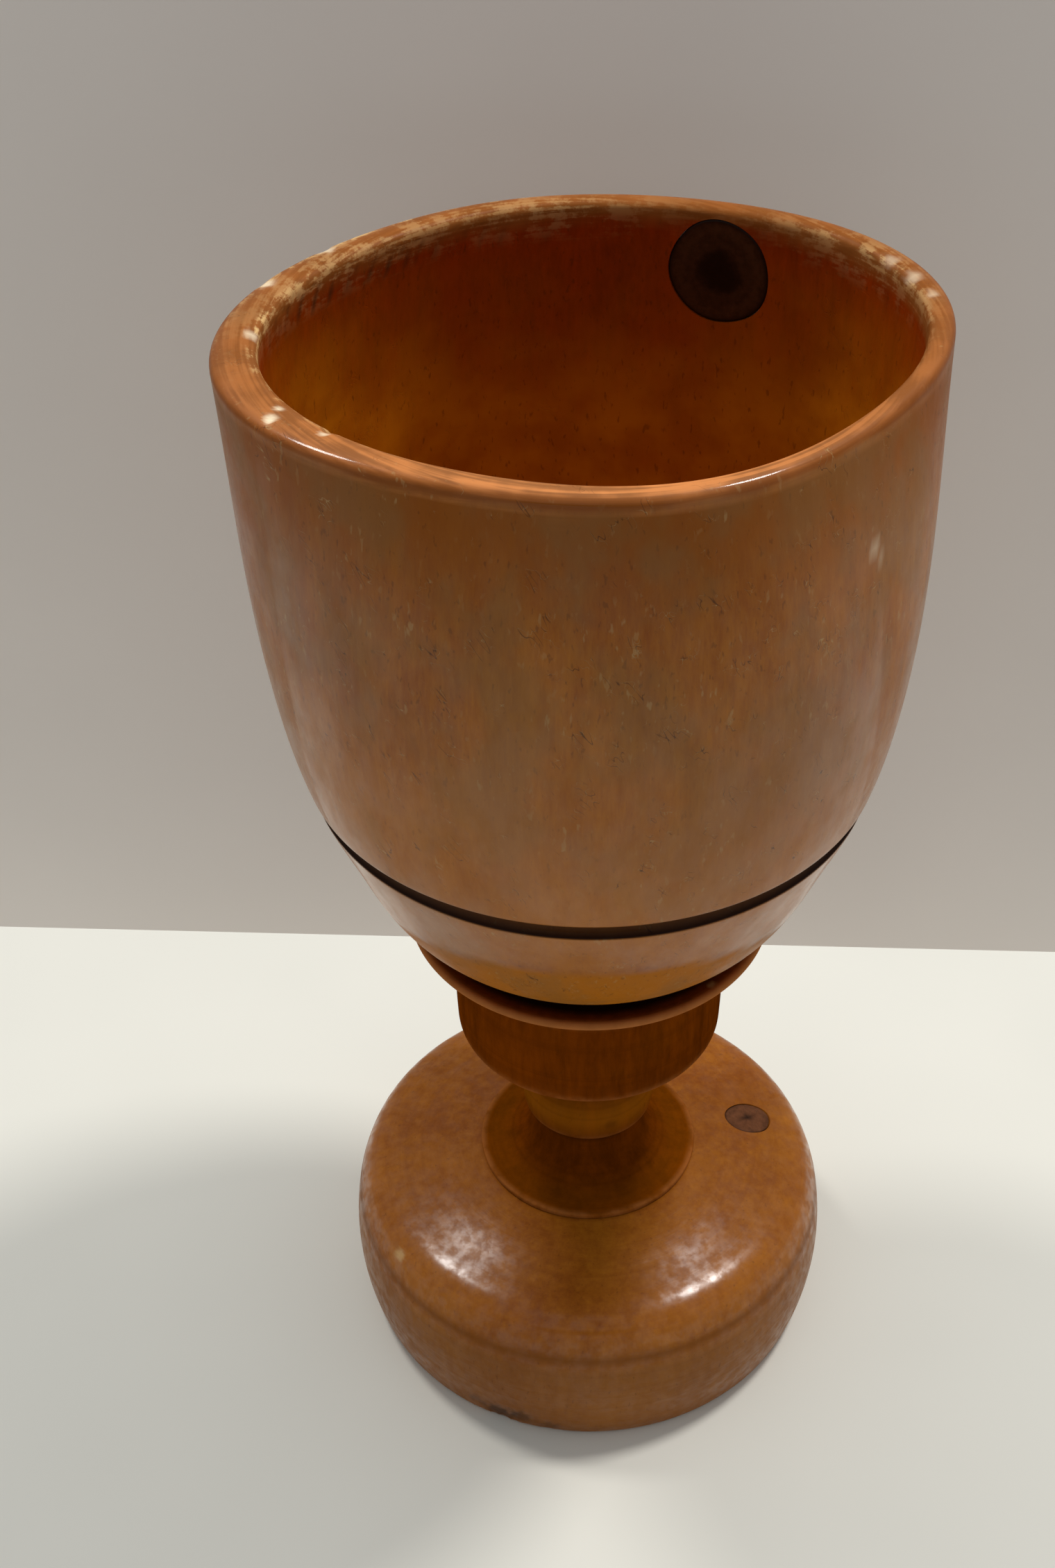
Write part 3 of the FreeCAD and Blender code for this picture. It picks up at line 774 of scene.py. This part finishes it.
def make_scratches():
    """Short thin scratches one way across the surface: narrow crests of a stretched noise, broken up."""
    made = Effect("scratches", [("Turn", "Vector", None), ("Amount", "Float", 0.5)], [("Mask", "Float")])
    place = made.entry["Place"]
    turned = made.add("ShaderNodeVectorRotate", {"Vector": place, "Rotation": made.entry["Turn"]},
                      rotation_type="EULER_XYZ").outputs[0]
    crest = made.noise(made.stretched(turned, 0.9, 0.9, 0.10), 1.3, 1.0, 0.5)
    thin = made.ease(made.calc("ABSOLUTE", made.calc("SUBTRACT", crest, 0.5)), 0.011, 0.0)
    broken = made.ease(made.noise(place, 0.42, 2.0), 0.56, 0.66)
    return made.put_out(Mask=made.times(made.times(thin, broken), made.entry["Amount"]))


def make_specks():
    """Fine specks drawn out along the fibres, dark pores of the wood."""
    made = Effect("specks", [("Fineness", "Float", 2.0), ("Share", "Float", 0.66)], [("Mask", "Float")])
    grain = made.noise(made.stretched(made.entry["Place"], 1, 1, 0.38), made.entry["Fineness"], 2.0, 0.5)
    over = made.calc("SUBTRACT", grain, made.entry["Share"])
    return made.put_out(Mask=made.calc("MULTIPLY", over, 14.0, clamp=True))


def make_tool_lines():
    """Faint rings left by the turning tool: a noise of only the radius and the height."""
    made = Effect("tool_lines", [("Fineness", "Float", 1.4)], [("Height", "Float")])
    across, deep, up = made.add("ShaderNodeSeparateXYZ", {0: made.entry["Place"]}).outputs
    radius = made.calc("SQRT", made.plus(made.times(across, across), made.times(deep, deep)))
    line = made.add("ShaderNodeCombineXYZ", {0: radius, 1: up}).outputs[0]
    return made.put_out(Height=made.noise(line, made.entry["Fineness"], 3.0, 0.5))


EFFECT_MAKERS = {"wood_figure": make_figure, "scratches": make_scratches,
                 "specks": make_specks, "tool_lines": make_tool_lines}


class Finish(Nodes):
    """A varnished material in the making: its shader's inputs, the place in millimetres, its colour."""

    def __init__(self, name, coat_roughness, body_shine, coat=0.0):
        self.material = bpy.data.materials.new(name)
        self.material.use_nodes = True
        super().__init__(self.material.node_tree)
        self.shader = self.tree.nodes["Principled BSDF"].inputs
        for socket, value in {"IOR": VARNISH_IOR, "Specular IOR Level": body_shine, "Coat Weight": coat,
                              "Coat Roughness": coat_roughness, "Coat IOR": VARNISH_IOR}.items():
            self.shader[socket].default_value = value
        there = self.add("ShaderNodeTexCoord").outputs["Object"]
        self.place = self.stretched(there, 1 / MM, 1 / MM, 1 / MM)
        self.colour = None

    def reading(self, name):
        """The number stored on the piece under a name."""
        return self.add("ShaderNodeAttribute", attribute_name=name, attribute_type="GEOMETRY").outputs["Fac"]

    def effect(self, name, **values):
        """Outputs of a shared effect placed here, which is made the first time it is asked for."""
        group = bpy.data.node_groups.get(name) or EFFECT_MAKERS[name]()
        return self.add("ShaderNodeGroup", {"Place": self.place, **values}, node_tree=group).outputs

    def stain(self, share, strength, colour):
        """Lay a colour over the wood by a share, or a stored mark of that name, times a strength."""
        share = self.reading(share) if isinstance(share, str) else share
        share = share if strength == 1 else self.times(share, strength)
        self.colour = self.mix(share, self.colour, colour)

    def finished(self, layers, sockets):
        """Join the colour, other sockets and a chain of bumps of (height, depth in millimetres)."""
        normal = None
        for height, depth in layers:
            values = {"Height": height, "Strength": 1.0, "Distance": depth * MM}
            if normal:
                values["Normal"] = normal
            normal = self.add("ShaderNodeBump", values).outputs[0]
        for name, value in {"Base Color": self.colour, "Normal": normal, **sockets}.items():
            self.tree.links.new(value, self.shader[name])
        return self.material


def rgba(colour, brightness=1.0):
    """A colour as four numbers, brighter or darker."""
    return tuple(part * brightness for part in colour) + (1.0,)


def turned_finish(name, colours, pale, deep, streak, lines, coat, polish, edge, body_shine, ripple, patches):
    """Varnished side grain of foot and stem: figure, pores, rubbed edges, hollows darkened by dirt and
    painted shade, tool lines, and painted shade, sheen and reflection where marked.
    """
    wood = Finish(name, polish, body_shine)
    place = wood.place
    figure = wood.effect("wood_figure", Pale=pale, Deep=deep, Streak=streak, Fibre=0.14)
    wood.colour = figure["Colour"]
    golden = wood.times(wood.ease(wood.noise(place, 0.11, 2.0), 0.50, 0.72, 0.0, 0.35), patches)
    wood.stain(wood.plus(golden, wood.reading("gold_and_light"), clamp=True), 1, rgba(colours.golden_wood_and_light, 0.9))
    rings = wood.effect("tool_lines", Fineness=1.3)["Height"]
    wood.stain(wood.ease(rings, 0.46, 0.70), 0.26, deep)
    # painted shade and sheen on the foot's side
    wood.stain("flank", 0.55, rgba(colours.flank_wood_shade_and_sheen))
    # painted reflection: the dark line at the foot's shoulder
    wood.stain("line", 0.9, rgba(SHOULDER_REFLECTION_LINE))
    wood.stain(wood.effect("specks", Fineness=2.6, Share=0.66)["Mask"], 0.35, rgba(colours.deep_wood, 0.4))
    rubbed = wood.ease(wood.noise(place, 0.5), 0.30, 0.62, 0.25, 1.0)
    wood.stain(wood.times(wood.reading("edge"), rubbed), edge, rgba(colours.rim_wood, 1.15))
    wood.stain("lip", 0.55, rgba(colours.rim_wood))
    # darker in the turned hollows: dirt there, and painted shade
    wood.stain("hollow", 0.75, rgba(colours.deep_wood, 0.22))
    # pale dents; on the stem this includes a painted highlight on the collar's dish
    wood.stain("bare", 0.8, rgba(colours.bare_wood, 0.8))
    wood.stain("dark", 0.85, rgba(GRIME))
    wood.stain("shade", 0.93, rgba(CREVICE_SHADE))
    smear = wood.noise(place, 0.75, 3.0, 0.6)
    shiny = wood.ease(smear, 0.64, 0.33, coat * 0.26, coat * 0.94)
    dull = wood.times(wood.plus(wood.reading("flank"), wood.reading("line"), clamp=True), 0.72)
    return wood.finished(
        [(rings, lines), (wood.noise(place, 0.35, 2.0, 0.5), ripple), (figure["Height"], 0.006)],
        {"Roughness": wood.ease(smear, 0.35, 0.65, 0.28, 0.44),
         "Coat Weight": wood.times(shiny, wood.less(dull))})


def bowl_finish(colours):
    """Varnished bowl: upright figure outside, dark amber hollow, orange rim worn to bare wood."""
    wood = Finish("varnished_bowl_wood", 0.10, 0.06)
    place, inside, rim = wood.place, wood.reading("inside"), wood.reading("rim")
    outside = wood.less(inside)

    outer = wood.effect("wood_figure", Pale=rgba(colours.pale_wood), Deep=rgba(colours.deep_wood),
                        Streak=0.36, Fibre=0.30)
    hollow = wood.effect("wood_figure", Pale=rgba(colours.hollow_wood, 1.12),
                         Deep=rgba(colours.hollow_wood, 0.55), Streak=0.40, Fibre=0.15)
    # painted light inside the bowl, brighter low down and on its left and right walls
    gold_and_light = wood.times(wood.reading("gold_and_light"), wood.ease(wood.noise(place, 0.16), 0.30, 0.68, 0.55, 1.0))
    lit_hollow = wood.mix(gold_and_light, hollow["Colour"], rgba(colours.golden_wood_and_light, 1.10))
    wood.colour = outer["Colour"]
    # painted shade below the rim
    wood.stain("under", 0.85, rgba(UNDER_RIM_SHADE))
    # painted reflection: amber band low on the bowl, where it mirrors the dark collar instead of the table
    wood.stain("heel_without_sheen", 0.9, rgba(colours.golden_wood_and_light, 0.92))
    wood.stain(inside, 1, lit_hollow)
    wood.stain(wood.effect("specks", Fineness=2.4, Share=0.64)["Mask"], 0.40, rgba(colours.deep_wood, 0.35))

    turning_lines = wood.effect("tool_lines", Fineness=2.4)["Height"]
    end_grain = wood.plus(turning_lines, wood.noise(place, 0.22, 3.0, 0.5))
    edge = wood.mix(wood.ease(end_grain, 0.82, 1.18), rgba(colours.rim_wood, 0.58),
                    rgba(colours.rim_wood, 1.22))
    # painted shade on the rim's back and sides
    edge = wood.mix(wood.times(wood.reading("rim_shade"), 0.85), edge, rgba(RIM_IN_SHADE))
    edge = wood.mix(wood.reading("bevel"), edge, rgba(BEVEL))
    wood.stain(rim, 1, edge)
    patchy = wood.plus(wood.times(turning_lines, 0.5), wood.noise(place, 0.5, 5.0, 0.7))
    bare = wood.calc("MULTIPLY", wood.reading("worn"), wood.ease(patchy, 0.70, 0.86), clamp=True)
    wood.stain(bare, 0.85, rgba(colours.bare_wood))

    weathered = wood.ease(wood.noise(wood.stretched(place, 1, 1, 0.7), 0.10, 4.0, 0.6), 0.42, 0.60)
    wood.stain(wood.times(wood.times(weathered, outside), wood.less(rim)), 0.42, rgba(TIRED_VARNISH))
    # painted reflection of the table, paler low on the bowl
    wood.stain("low", 0.38, rgba(BELLY_SHEEN))
    flecks = wood.effect("specks", Fineness=1.7, Share=0.63)["Mask"]
    gathered = wood.ease(wood.noise(place, 0.13), 0.46, 0.64, 0.05, 0.34)
    wood.stain(wood.times(flecks, wood.times(gathered, outside)), 1, rgba(colours.bare_wood, 0.55))
    across = wood.effect("scratches", Turn=(1.1, 0.5, 0.0), Amount=0.5)["Mask"]
    slanted = wood.effect("scratches", Turn=(0.35, 0.55, 1.3), Amount=0.7)["Mask"]
    wood.stain(wood.times(across, outside), 1, rgba(colours.bare_wood, 0.55))
    wood.stain(wood.times(slanted, outside), 1, rgba(colours.deep_wood, 0.18))
    wood.stain("scuffed", 0.8, rgba(SCUFF))
    wood.stain("groove", 1, rgba(GROOVE))
    wood.stain("bare", 0.9, rgba(CHIP))
    wood.stain("dark", 0.85, rgba(DENT_DIRT))

    dulled = wood.plus(wood.plus(wood.reading("heel_without_sheen"), wood.times(wood.reading("under"), 0.7)),
                       wood.plus(wood.times(rim, 0.45), wood.times(inside, 0.9)))
    dulled = wood.plus(dulled, wood.reading("groove"), clamp=True)
    haze = wood.ease(wood.noise(wood.stretched(place, 1, 1, 0.6), 0.16, 6.0, 0.7), 0.36, 0.64, 0.34, 0.66)
    smear = wood.ease(wood.noise(place, 0.30, 5.0, 0.65), 0.32, 0.72, 0.36, 0.52)
    return wood.finished(
        [(wood.noise(wood.stretched(place, 1, 1, 0.4), 0.35, 2.0), 0.10), (outer["Height"], 0.012),
         (wood.plus(across, slanted), -0.03), (wood.plus(bare, wood.reading("scuffed")), -0.05)],
        {"Roughness": wood.calc("MULTIPLY_ADD", bare, 0.2, smear),
         "Coat Weight": wood.times(wood.less(dulled), haze)})


def knot_finish(name, colours, centre, ring_step, light, core_size):
    """Wood of a knot: close year rings round its heart, a near-black core and a dark bark line."""
    wood = Finish(name, 0.2, 0.08, coat=0.03)
    heart = wood.reading("heart")
    from_heart = wood.add("ShaderNodeVectorMath", {0: wood.place, 1: centre}, operation="SUBTRACT").outputs[0]
    wobble = wood.noise(from_heart, 0.6, 3.0, 0.6)
    year = wood.calc("SINE", wood.plus(wood.times(heart, ring_step), wood.times(wobble, 9.0)))
    fibre = wood.noise(from_heart, 1.6, 5.0, 0.65)
    shade = wood.times(wood.plus(wood.calc("MULTIPLY_ADD", year, 0.12, 0.5), fibre), 0.5)
    wood.colour = wood.mix(wood.ease(shade, 0.25, 0.75), rgba(colours.knot_wood, 0.55 * light),
                           rgba(colours.knot_wood, 1.5 * light))
    core = wood.plus(heart, wood.times(wobble, 0.5))
    wood.stain(wood.ease(core, core_size + 0.35, core_size - 0.1), 0.9, rgba(KNOT_CORE))
    wood.stain(wood.ease(heart, 0.90, 0.985), min(0.75, 0.8 / light), rgba(BARK))
    return wood.finished([(shade, 0.05), (fibre, 0.012)],
                         {"Roughness": wood.ease(fibre, 0.3, 0.7, 0.34, 0.5)})


def give(piece, material, slot, *nodes):
    """Finish a piece: its material, the body it rides on and the frame nodes it stands for; its slot is not
    used.
    """
    piece.data.materials.clear()
    piece.data.materials.append(material)
    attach(piece, "root")
    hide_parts(*nodes)


# ---------------------------------------------------------------- operators

class GOBLET_OT_foot(bpy.types.Operator):
    """Build the foot and the small knot in its dome"""
    bl_idname = "goblet.foot"
    bl_label = "Foot and its knot"

    def execute(self, context):
        sizes, colours = context.scene.goblet_sizes, context.scene.goblet_colours
        outline = foot_outline(sizes)
        foot = turned_piece("turned_foot", outline, FOOT_DENTS, count=320)
        branch, above_dome = foot_branch(sizes, outline)
        cut_pocket(foot, branch.pocket(-FOOT_KNOT_DEPTH - KNOT_GAP, 5.0))
        knot = branch.plug("foot_branch_knot", None, above_dome, FOOT_KNOT_DEPTH)
        places = points_of(foot)
        shoulder = sizes.shoulder_height / MM
        on_side = (np.hypot(places[:, 0], places[:, 1]) > FLANK_INNER) * 1.0
        # the foot's side, which gets painted shade and sheen
        mark(foot, "flank", on_side * np.clip((shoulder - 0.6 - places[:, 2]) / 1.2, 0, 1))
        # band of the painted reflection line at the shoulder
        mark(foot, "line", on_side * np.exp(-((places[:, 2] - shoulder) / 0.7) ** 2))
        give(foot, turned_finish(
            "varnished_foot_wood", colours, rgba(colours.pale_wood, 1.04), rgba(colours.deep_wood, 0.9),
            streak=0.35, lines=0.05, coat=0.80, polish=0.20, edge=0.34, body_shine=0.06, ripple=0.14,
            patches=0.8), "foot_wood", "foot")
        give(knot, knot_finish("foot_knot_wood", colours, tuple(branch.middle), 6.0, 2.6, 0.25),
             "knot_wood", "foot_knot")
        return {"FINISHED"}


class GOBLET_OT_stem(bpy.types.Operator):
    """Build the stem with its disc, neck, bead, knop and dished collar"""
    bl_idname = "goblet.stem"
    bl_label = "Stem"

    def execute(self, context):
        sizes, colours = context.scene.goblet_sizes, context.scene.goblet_colours
        stem = turned_piece("turned_stem", stem_outline(sizes), STEM_DENTS_AND_GLINT, count=240)
        places = points_of(stem)
        height, radius = places[:, 2] - SEAT, np.hypot(places[:, 0], places[:, 1])
        bead = np.exp(-((height - 10.8) / 2.6) ** 2) * (radius < 9)
        disc = np.clip((radius - 7.5) / 2.5, 0, 1) * (height < 4)
        mark(stem, "gold_and_light", 0.45 * bead + 0.16 * disc)
        mark(stem, "lip", (height > 34) * np.clip((radius - 17.9) / 0.4, 0, 1))
        # painted shade in the collar's dish, under the bowl
        mark(stem, "shade", (height > 36) * np.clip((17.3 - radius) / 1.1, 0, 1))
        give(stem, turned_finish(
            "varnished_stem_wood", colours, rgba(colours.stem_wood, 1.3), rgba(colours.stem_wood, 0.55),
            streak=0.6, lines=0.010, coat=0.0, polish=0.16, edge=0.30, body_shine=0.0, ripple=0.1,
            patches=0.1), "stem_wood", "stem")
        return {"FINISHED"}


class GOBLET_OT_bowl(bpy.types.Operator):
    """Build the warped bowl and the knot through its wall"""
    bl_idname = "goblet.bowl"
    bl_label = "Bowl and its knot"

    def execute(self, context):
        sizes, colours = context.scene.goblet_sizes, context.scene.goblet_colours
        cup = Cup(sizes)
        outline = cup.outline()
        angles = angles_round(330, [(-145, 9, 1.3), (63.8, 10, 0.8)])    # the chips and the knot
        bowl = lay_rings("turned_bowl", pressed(cup.rings(outline, angles), BOWL_DENTS))
        branch = bowl_branch(sizes, cup)
        cut_pocket(bowl, branch.pocket(-7.0, 7.0))

        def past_wall(inside):
            """How far a place lies outside the inner (1) or outer (0) surface."""
            return lambda places: np.hypot(places[..., 0], places[..., 1]) - cup.radius(
                np.arctan2(places[..., 1], places[..., 0]), places[..., 2], inside)

        knot = branch.plug("bowl_branch_knot", past_wall(1), past_wall(0), 1.5)
        self.mark_bowl(bowl, cup)
        give(bowl, bowl_finish(colours), "bowl_wood", "bowl")
        give(knot, knot_finish("bowl_knot_wood", colours, tuple(branch.middle), 20.0, 0.9, 0.55),
             "knot_wood", "bowl_knot")
        return {"FINISHED"}

    def mark_bowl(self, bowl, cup):
        """Store where the bowl is inside, rim, worn, golden, in the groove or chipped."""
        places = points_of(bowl)
        angle, height = np.arctan2(places[:, 1], places[:, 0]), places[:, 2]
        radius = np.hypot(places[:, 0], places[:, 1])
        degrees = np.degrees(angle)
        outer, inner = cup.radius(angle, height, 0), cup.radius(angle, height, 1)
        depth = np.clip((outer - radius) / np.maximum(outer - inner, 0.5), 0, 1)
        above_floor = height > BOWL_SEAT + FLOOR_HEIGHT
        in_hollow = above_floor * depth
        below_top = cup.rim_top + cup.tilt(angle, cup.rim_top) - height
        wobble = 0.35 * np.sin(3 * angle + 1) + 0.22 * np.sin(11 * angle) + 0.15 * np.sin(23 * angle + 2)
        rim_band = 1 - np.clip((below_top - 0.75 - 0.6 * in_hollow - wobble * 0.5) / 0.7, 0, 1)

        def near(centre, width):
            """1 at a direction from the axis, falling off over a width in degrees."""
            return np.exp(-0.5 * (wrapped(degrees - centre) / width) ** 2)

        outer_line = np.clip(1 - np.abs(depth - 0.18) / 0.22, 0, 1) * (below_top < 1.5)
        inner_line = np.clip(1 - np.abs(depth - 0.92) / 0.14, 0, 1) * (below_top < 1.3)
        inner_haze = in_hollow * np.clip(1 - below_top / 4.2, 0, 1)
        worn = (outer_line * (near(148, 17) + 0.7 * near(118, 9))
                + inner_line * (0.9 * near(-172, 16) + 0.4 * near(-135, 15) + 0.3 * near(20, 20))
                + inner_haze * (0.42 * near(150, 22) + 0.35 * near(100, 16) + 0.35 * near(30, 14)))
        scuff_lines = np.sin(degrees * 1.9 + height * 2.1) * np.sin(degrees * 4.3 - height * 5)
        scuff_band = near(150, 24) * np.exp(-0.5 * ((below_top - 2.6) / 0.9) ** 2)
        groove = 1 - np.clip((np.abs(height - BOWL_SEAT - GROOVE_HEIGHT) - 0.95) / 0.2, 0, 1)
        sideways = 0.30 + 0.70 * np.cos(angle) ** 2
        # painted light inside the bowl: more on the left and right walls and lower down
        lit_sides = sideways * np.clip((below_top - 2.0) / (15.0 - 1.5 * near(180, 50)), 0.05, 1)
        # top of the painted reflection band, higher at the front
        heel_edge = BOWL_SEAT + 8.3 + 6.0 * np.clip(-np.sin(angle), 0, 1) ** 2
        marks = {
            "inside": (depth - 0.15) / 0.7 * above_floor,
            "rim": rim_band,
            "bevel": (1 - depth * 3.6) * rim_band * 0.95,
            "worn": worn,
            "scuffed": in_hollow * scuff_band * np.clip(scuff_lines - 0.25, 0, 1) * 2,
            # golden bead on the stem; painted light inside the bowl
            "gold_and_light": in_hollow * (lit_sides + np.clip((below_top - 14) / 16, 0, 0.7)),
            "heel_without_sheen": np.clip((heel_edge - height) / 0.6, 0, 1),
            # band of the painted table reflection low on the bowl
            "low": ((1 - depth) * np.clip((height - heel_edge) / 0.6, 0, 1)
                    * np.clip((BOWL_SEAT + BELLY_HEIGHT - height) / 20, 0, 1)),
            # band of the painted shade below the rim
            "under": ((1 - depth) * np.clip((below_top - 1.0) / 0.3, 0, 1)
                      * np.clip((13 - below_top) / 10, 0, 1)),
            # painted shade on the rim, all round but its front
            "rim_shade": 1 - near(-92, 42),
            "groove": groove * (1 - depth),
            "bare": tone_of(places, BOWL_DENTS, 1),
            "dark": tone_of(places, BOWL_DENTS, -1),
        }
        for name, values in marks.items():
            mark(bowl, name, values)


def stage_finish(name, colour, one_sided=False):
    """Matt paint with a faint mottle; a one-sided wall can't be seen from behind."""
    material = bpy.data.materials.new(name)
    material.use_nodes = True
    paint = Nodes(material.node_tree)
    shader = paint.tree.nodes["Principled BSDF"]
    shader.inputs["Roughness"].default_value = 0.6
    shader.inputs["Specular IOR Level"].default_value = 0.2
    there = paint.add("ShaderNodeTexCoord").outputs["Object"]
    mottle = paint.ease(paint.noise(there, 22.0, 2.0), 0.3, 0.7)
    paint.tree.links.new(paint.mix(mottle, rgba(colour, 0.97), rgba(colour)), shader.inputs["Base Color"])
    if one_sided:
        behind = paint.add("ShaderNodeNewGeometry").outputs["Backfacing"]
        clear = paint.add("ShaderNodeBsdfTransparent").outputs[0]
        mixed = paint.add("ShaderNodeMixShader", {0: behind, 1: shader.outputs[0], 2: clear}).outputs[0]
        paint.tree.links.new(mixed, paint.tree.nodes["Material Output"].inputs[0])
    return material


def flat_sheet(name, corners, material):
    """Four-cornered sheet, facing the side its corners run anticlockwise on; part of the stage."""
    mesh = bpy.data.meshes.new(name)
    mesh.from_pydata(np.array(corners, float) * MM, [], [(0, 1, 2, 3)])
    mesh.materials.append(material)
    sheet = bpy.data.objects.new(name, mesh)
    bpy.context.scene.collection.objects.link(sheet)
    return sheet


def hang_lamp(name, direction, radius, power):
    """Round soft lamp in a direction from the foot, turned to it."""
    light = bpy.data.lights.new(name, "AREA")
    light.shape, light.size, light.energy, light.color = "DISK", 2 * radius * MM, power, LAMP_COLOUR
    lamp = bpy.data.objects.new(name, light)
    bpy.context.scene.collection.objects.link(lamp)
    towards = Vector(direction).normalized()
    turn = (-towards).to_track_quat("-Z", "Y").to_matrix().to_4x4()
    lamp.matrix_world = Matrix.Translation(towards * LAMP_DISTANCE * MM) @ turn


class GOBLET_OT_stage(bpy.types.Operator):
    """Set up the table, the wall, the lamps and the camera"""
    bl_idname = "goblet.stage"
    bl_label = "Table, wall, lamps and camera"

    def execute(self, context):
        stage = context.scene.goblet_stage
        wall = stage.wall_distance / MM
        edges = [(side, wall - WALL_SLANT * side) for side in (-TABLE_REACH, TABLE_REACH)]
        (left, left_wall), (right, right_wall) = edges
        flat_sheet("table", [(left, TABLE_FRONT, 0), (right, TABLE_FRONT, 0), (right, right_wall, 0),
                             (left, left_wall, 0)], stage_finish("table_top", stage.table))
        backdrop = flat_sheet("wall", [(right, right_wall, WALL_TOP), (left, left_wall, WALL_TOP),
                                       (left, left_wall, 0), (right, right_wall, 0)],
                              stage_finish("wall_paint", stage.wall, one_sided=True))
        backdrop.visible_shadow = backdrop.visible_diffuse = False
        shade = flat_sheet("shade_card", [(-120, -400, 190), (120, -400, 190), (120, -250, 205),
                                          (-120, -250, 205)], stage_finish("shade_card", SHADE_CARD))
        shade.visible_camera = False
        hang_lamp("lamp_left", (-0.37, 0.23, 0.90), 36, stage.lamp_power * 0.60)
        hang_lamp("lamp_right", (0.34, 0.15, 0.928), 34, stage.lamp_power * 0.98)
        world = bpy.data.worlds.new("room_light")
        world.use_nodes = True
        glow = world.node_tree.nodes["Background"].inputs
        glow["Color"].default_value = (0.93, 0.97, 1.0, 1)
        glow["Strength"].default_value = stage.daylight
        context.scene.world = world
        context.scene.view_settings.view_transform = "Standard"
        camera = bpy.data.cameras.new("camera")
        camera.lens, camera.sensor_width, camera.clip_start = stage.lens, 36.0, 0.01
        viewer = bpy.data.objects.new("camera", camera)
        context.scene.collection.objects.link(viewer)
        viewer.matrix_world = (
            Matrix.Translation(Vector(CAMERA_PLACE) * MM) @ Matrix.Rotation(math.radians(CAMERA_TURN), 4, "Z")
            @ Matrix.Rotation(math.pi / 2 - math.radians(CAMERA_DOWN), 4, "X")
            @ Matrix.Rotation(math.radians(CAMERA_ROLL), 4, "Z"))
        context.scene.camera = viewer
        return {"FINISHED"}


class GOBLET_PT_panel(bpy.types.Panel):
    """Sidebar panel with the goblet's sizes, colours and operators"""
    bl_idname = "GOBLET_PT_panel"
    bl_label = "Turned goblet"
    bl_space_type = "VIEW_3D"
    bl_region_type = "UI"
    bl_category = "Goblet"

    def draw(self, context):
        layout = self.layout
        for group in (context.scene.goblet_sizes, context.scene.goblet_colours, context.scene.goblet_stage):
            box = layout.box()
            for name in group.__annotations__:
                box.prop(group, name)
        for operator in OPERATORS:
            layout.operator(operator.bl_idname)


GROUPS = {"goblet_sizes": GobletSizes, "goblet_colours": GobletColours, "goblet_stage": GobletStage}
OPERATORS = (GOBLET_OT_foot, GOBLET_OT_stem, GOBLET_OT_bowl, GOBLET_OT_stage)


def register():
    for shown in (*GROUPS.values(), *OPERATORS, GOBLET_PT_panel):
        bpy.utils.register_class(shown)
    for name, group in GROUPS.items():
        setattr(bpy.types.Scene, name, PointerProperty(type=group))


def unregister():
    for name in GROUPS:
        delattr(bpy.types.Scene, name)
    for shown in (GOBLET_PT_panel, *OPERATORS[::-1], *GROUPS.values()):
        bpy.utils.unregister_class(shown)


def main():
    """Build the whole goblet and its stage."""
    register()
    bpy.ops.goblet.foot()
    bpy.ops.goblet.stem()
    bpy.ops.goblet.bowl()
    bpy.ops.goblet.stage()


if __name__ == "__main__":
    main()
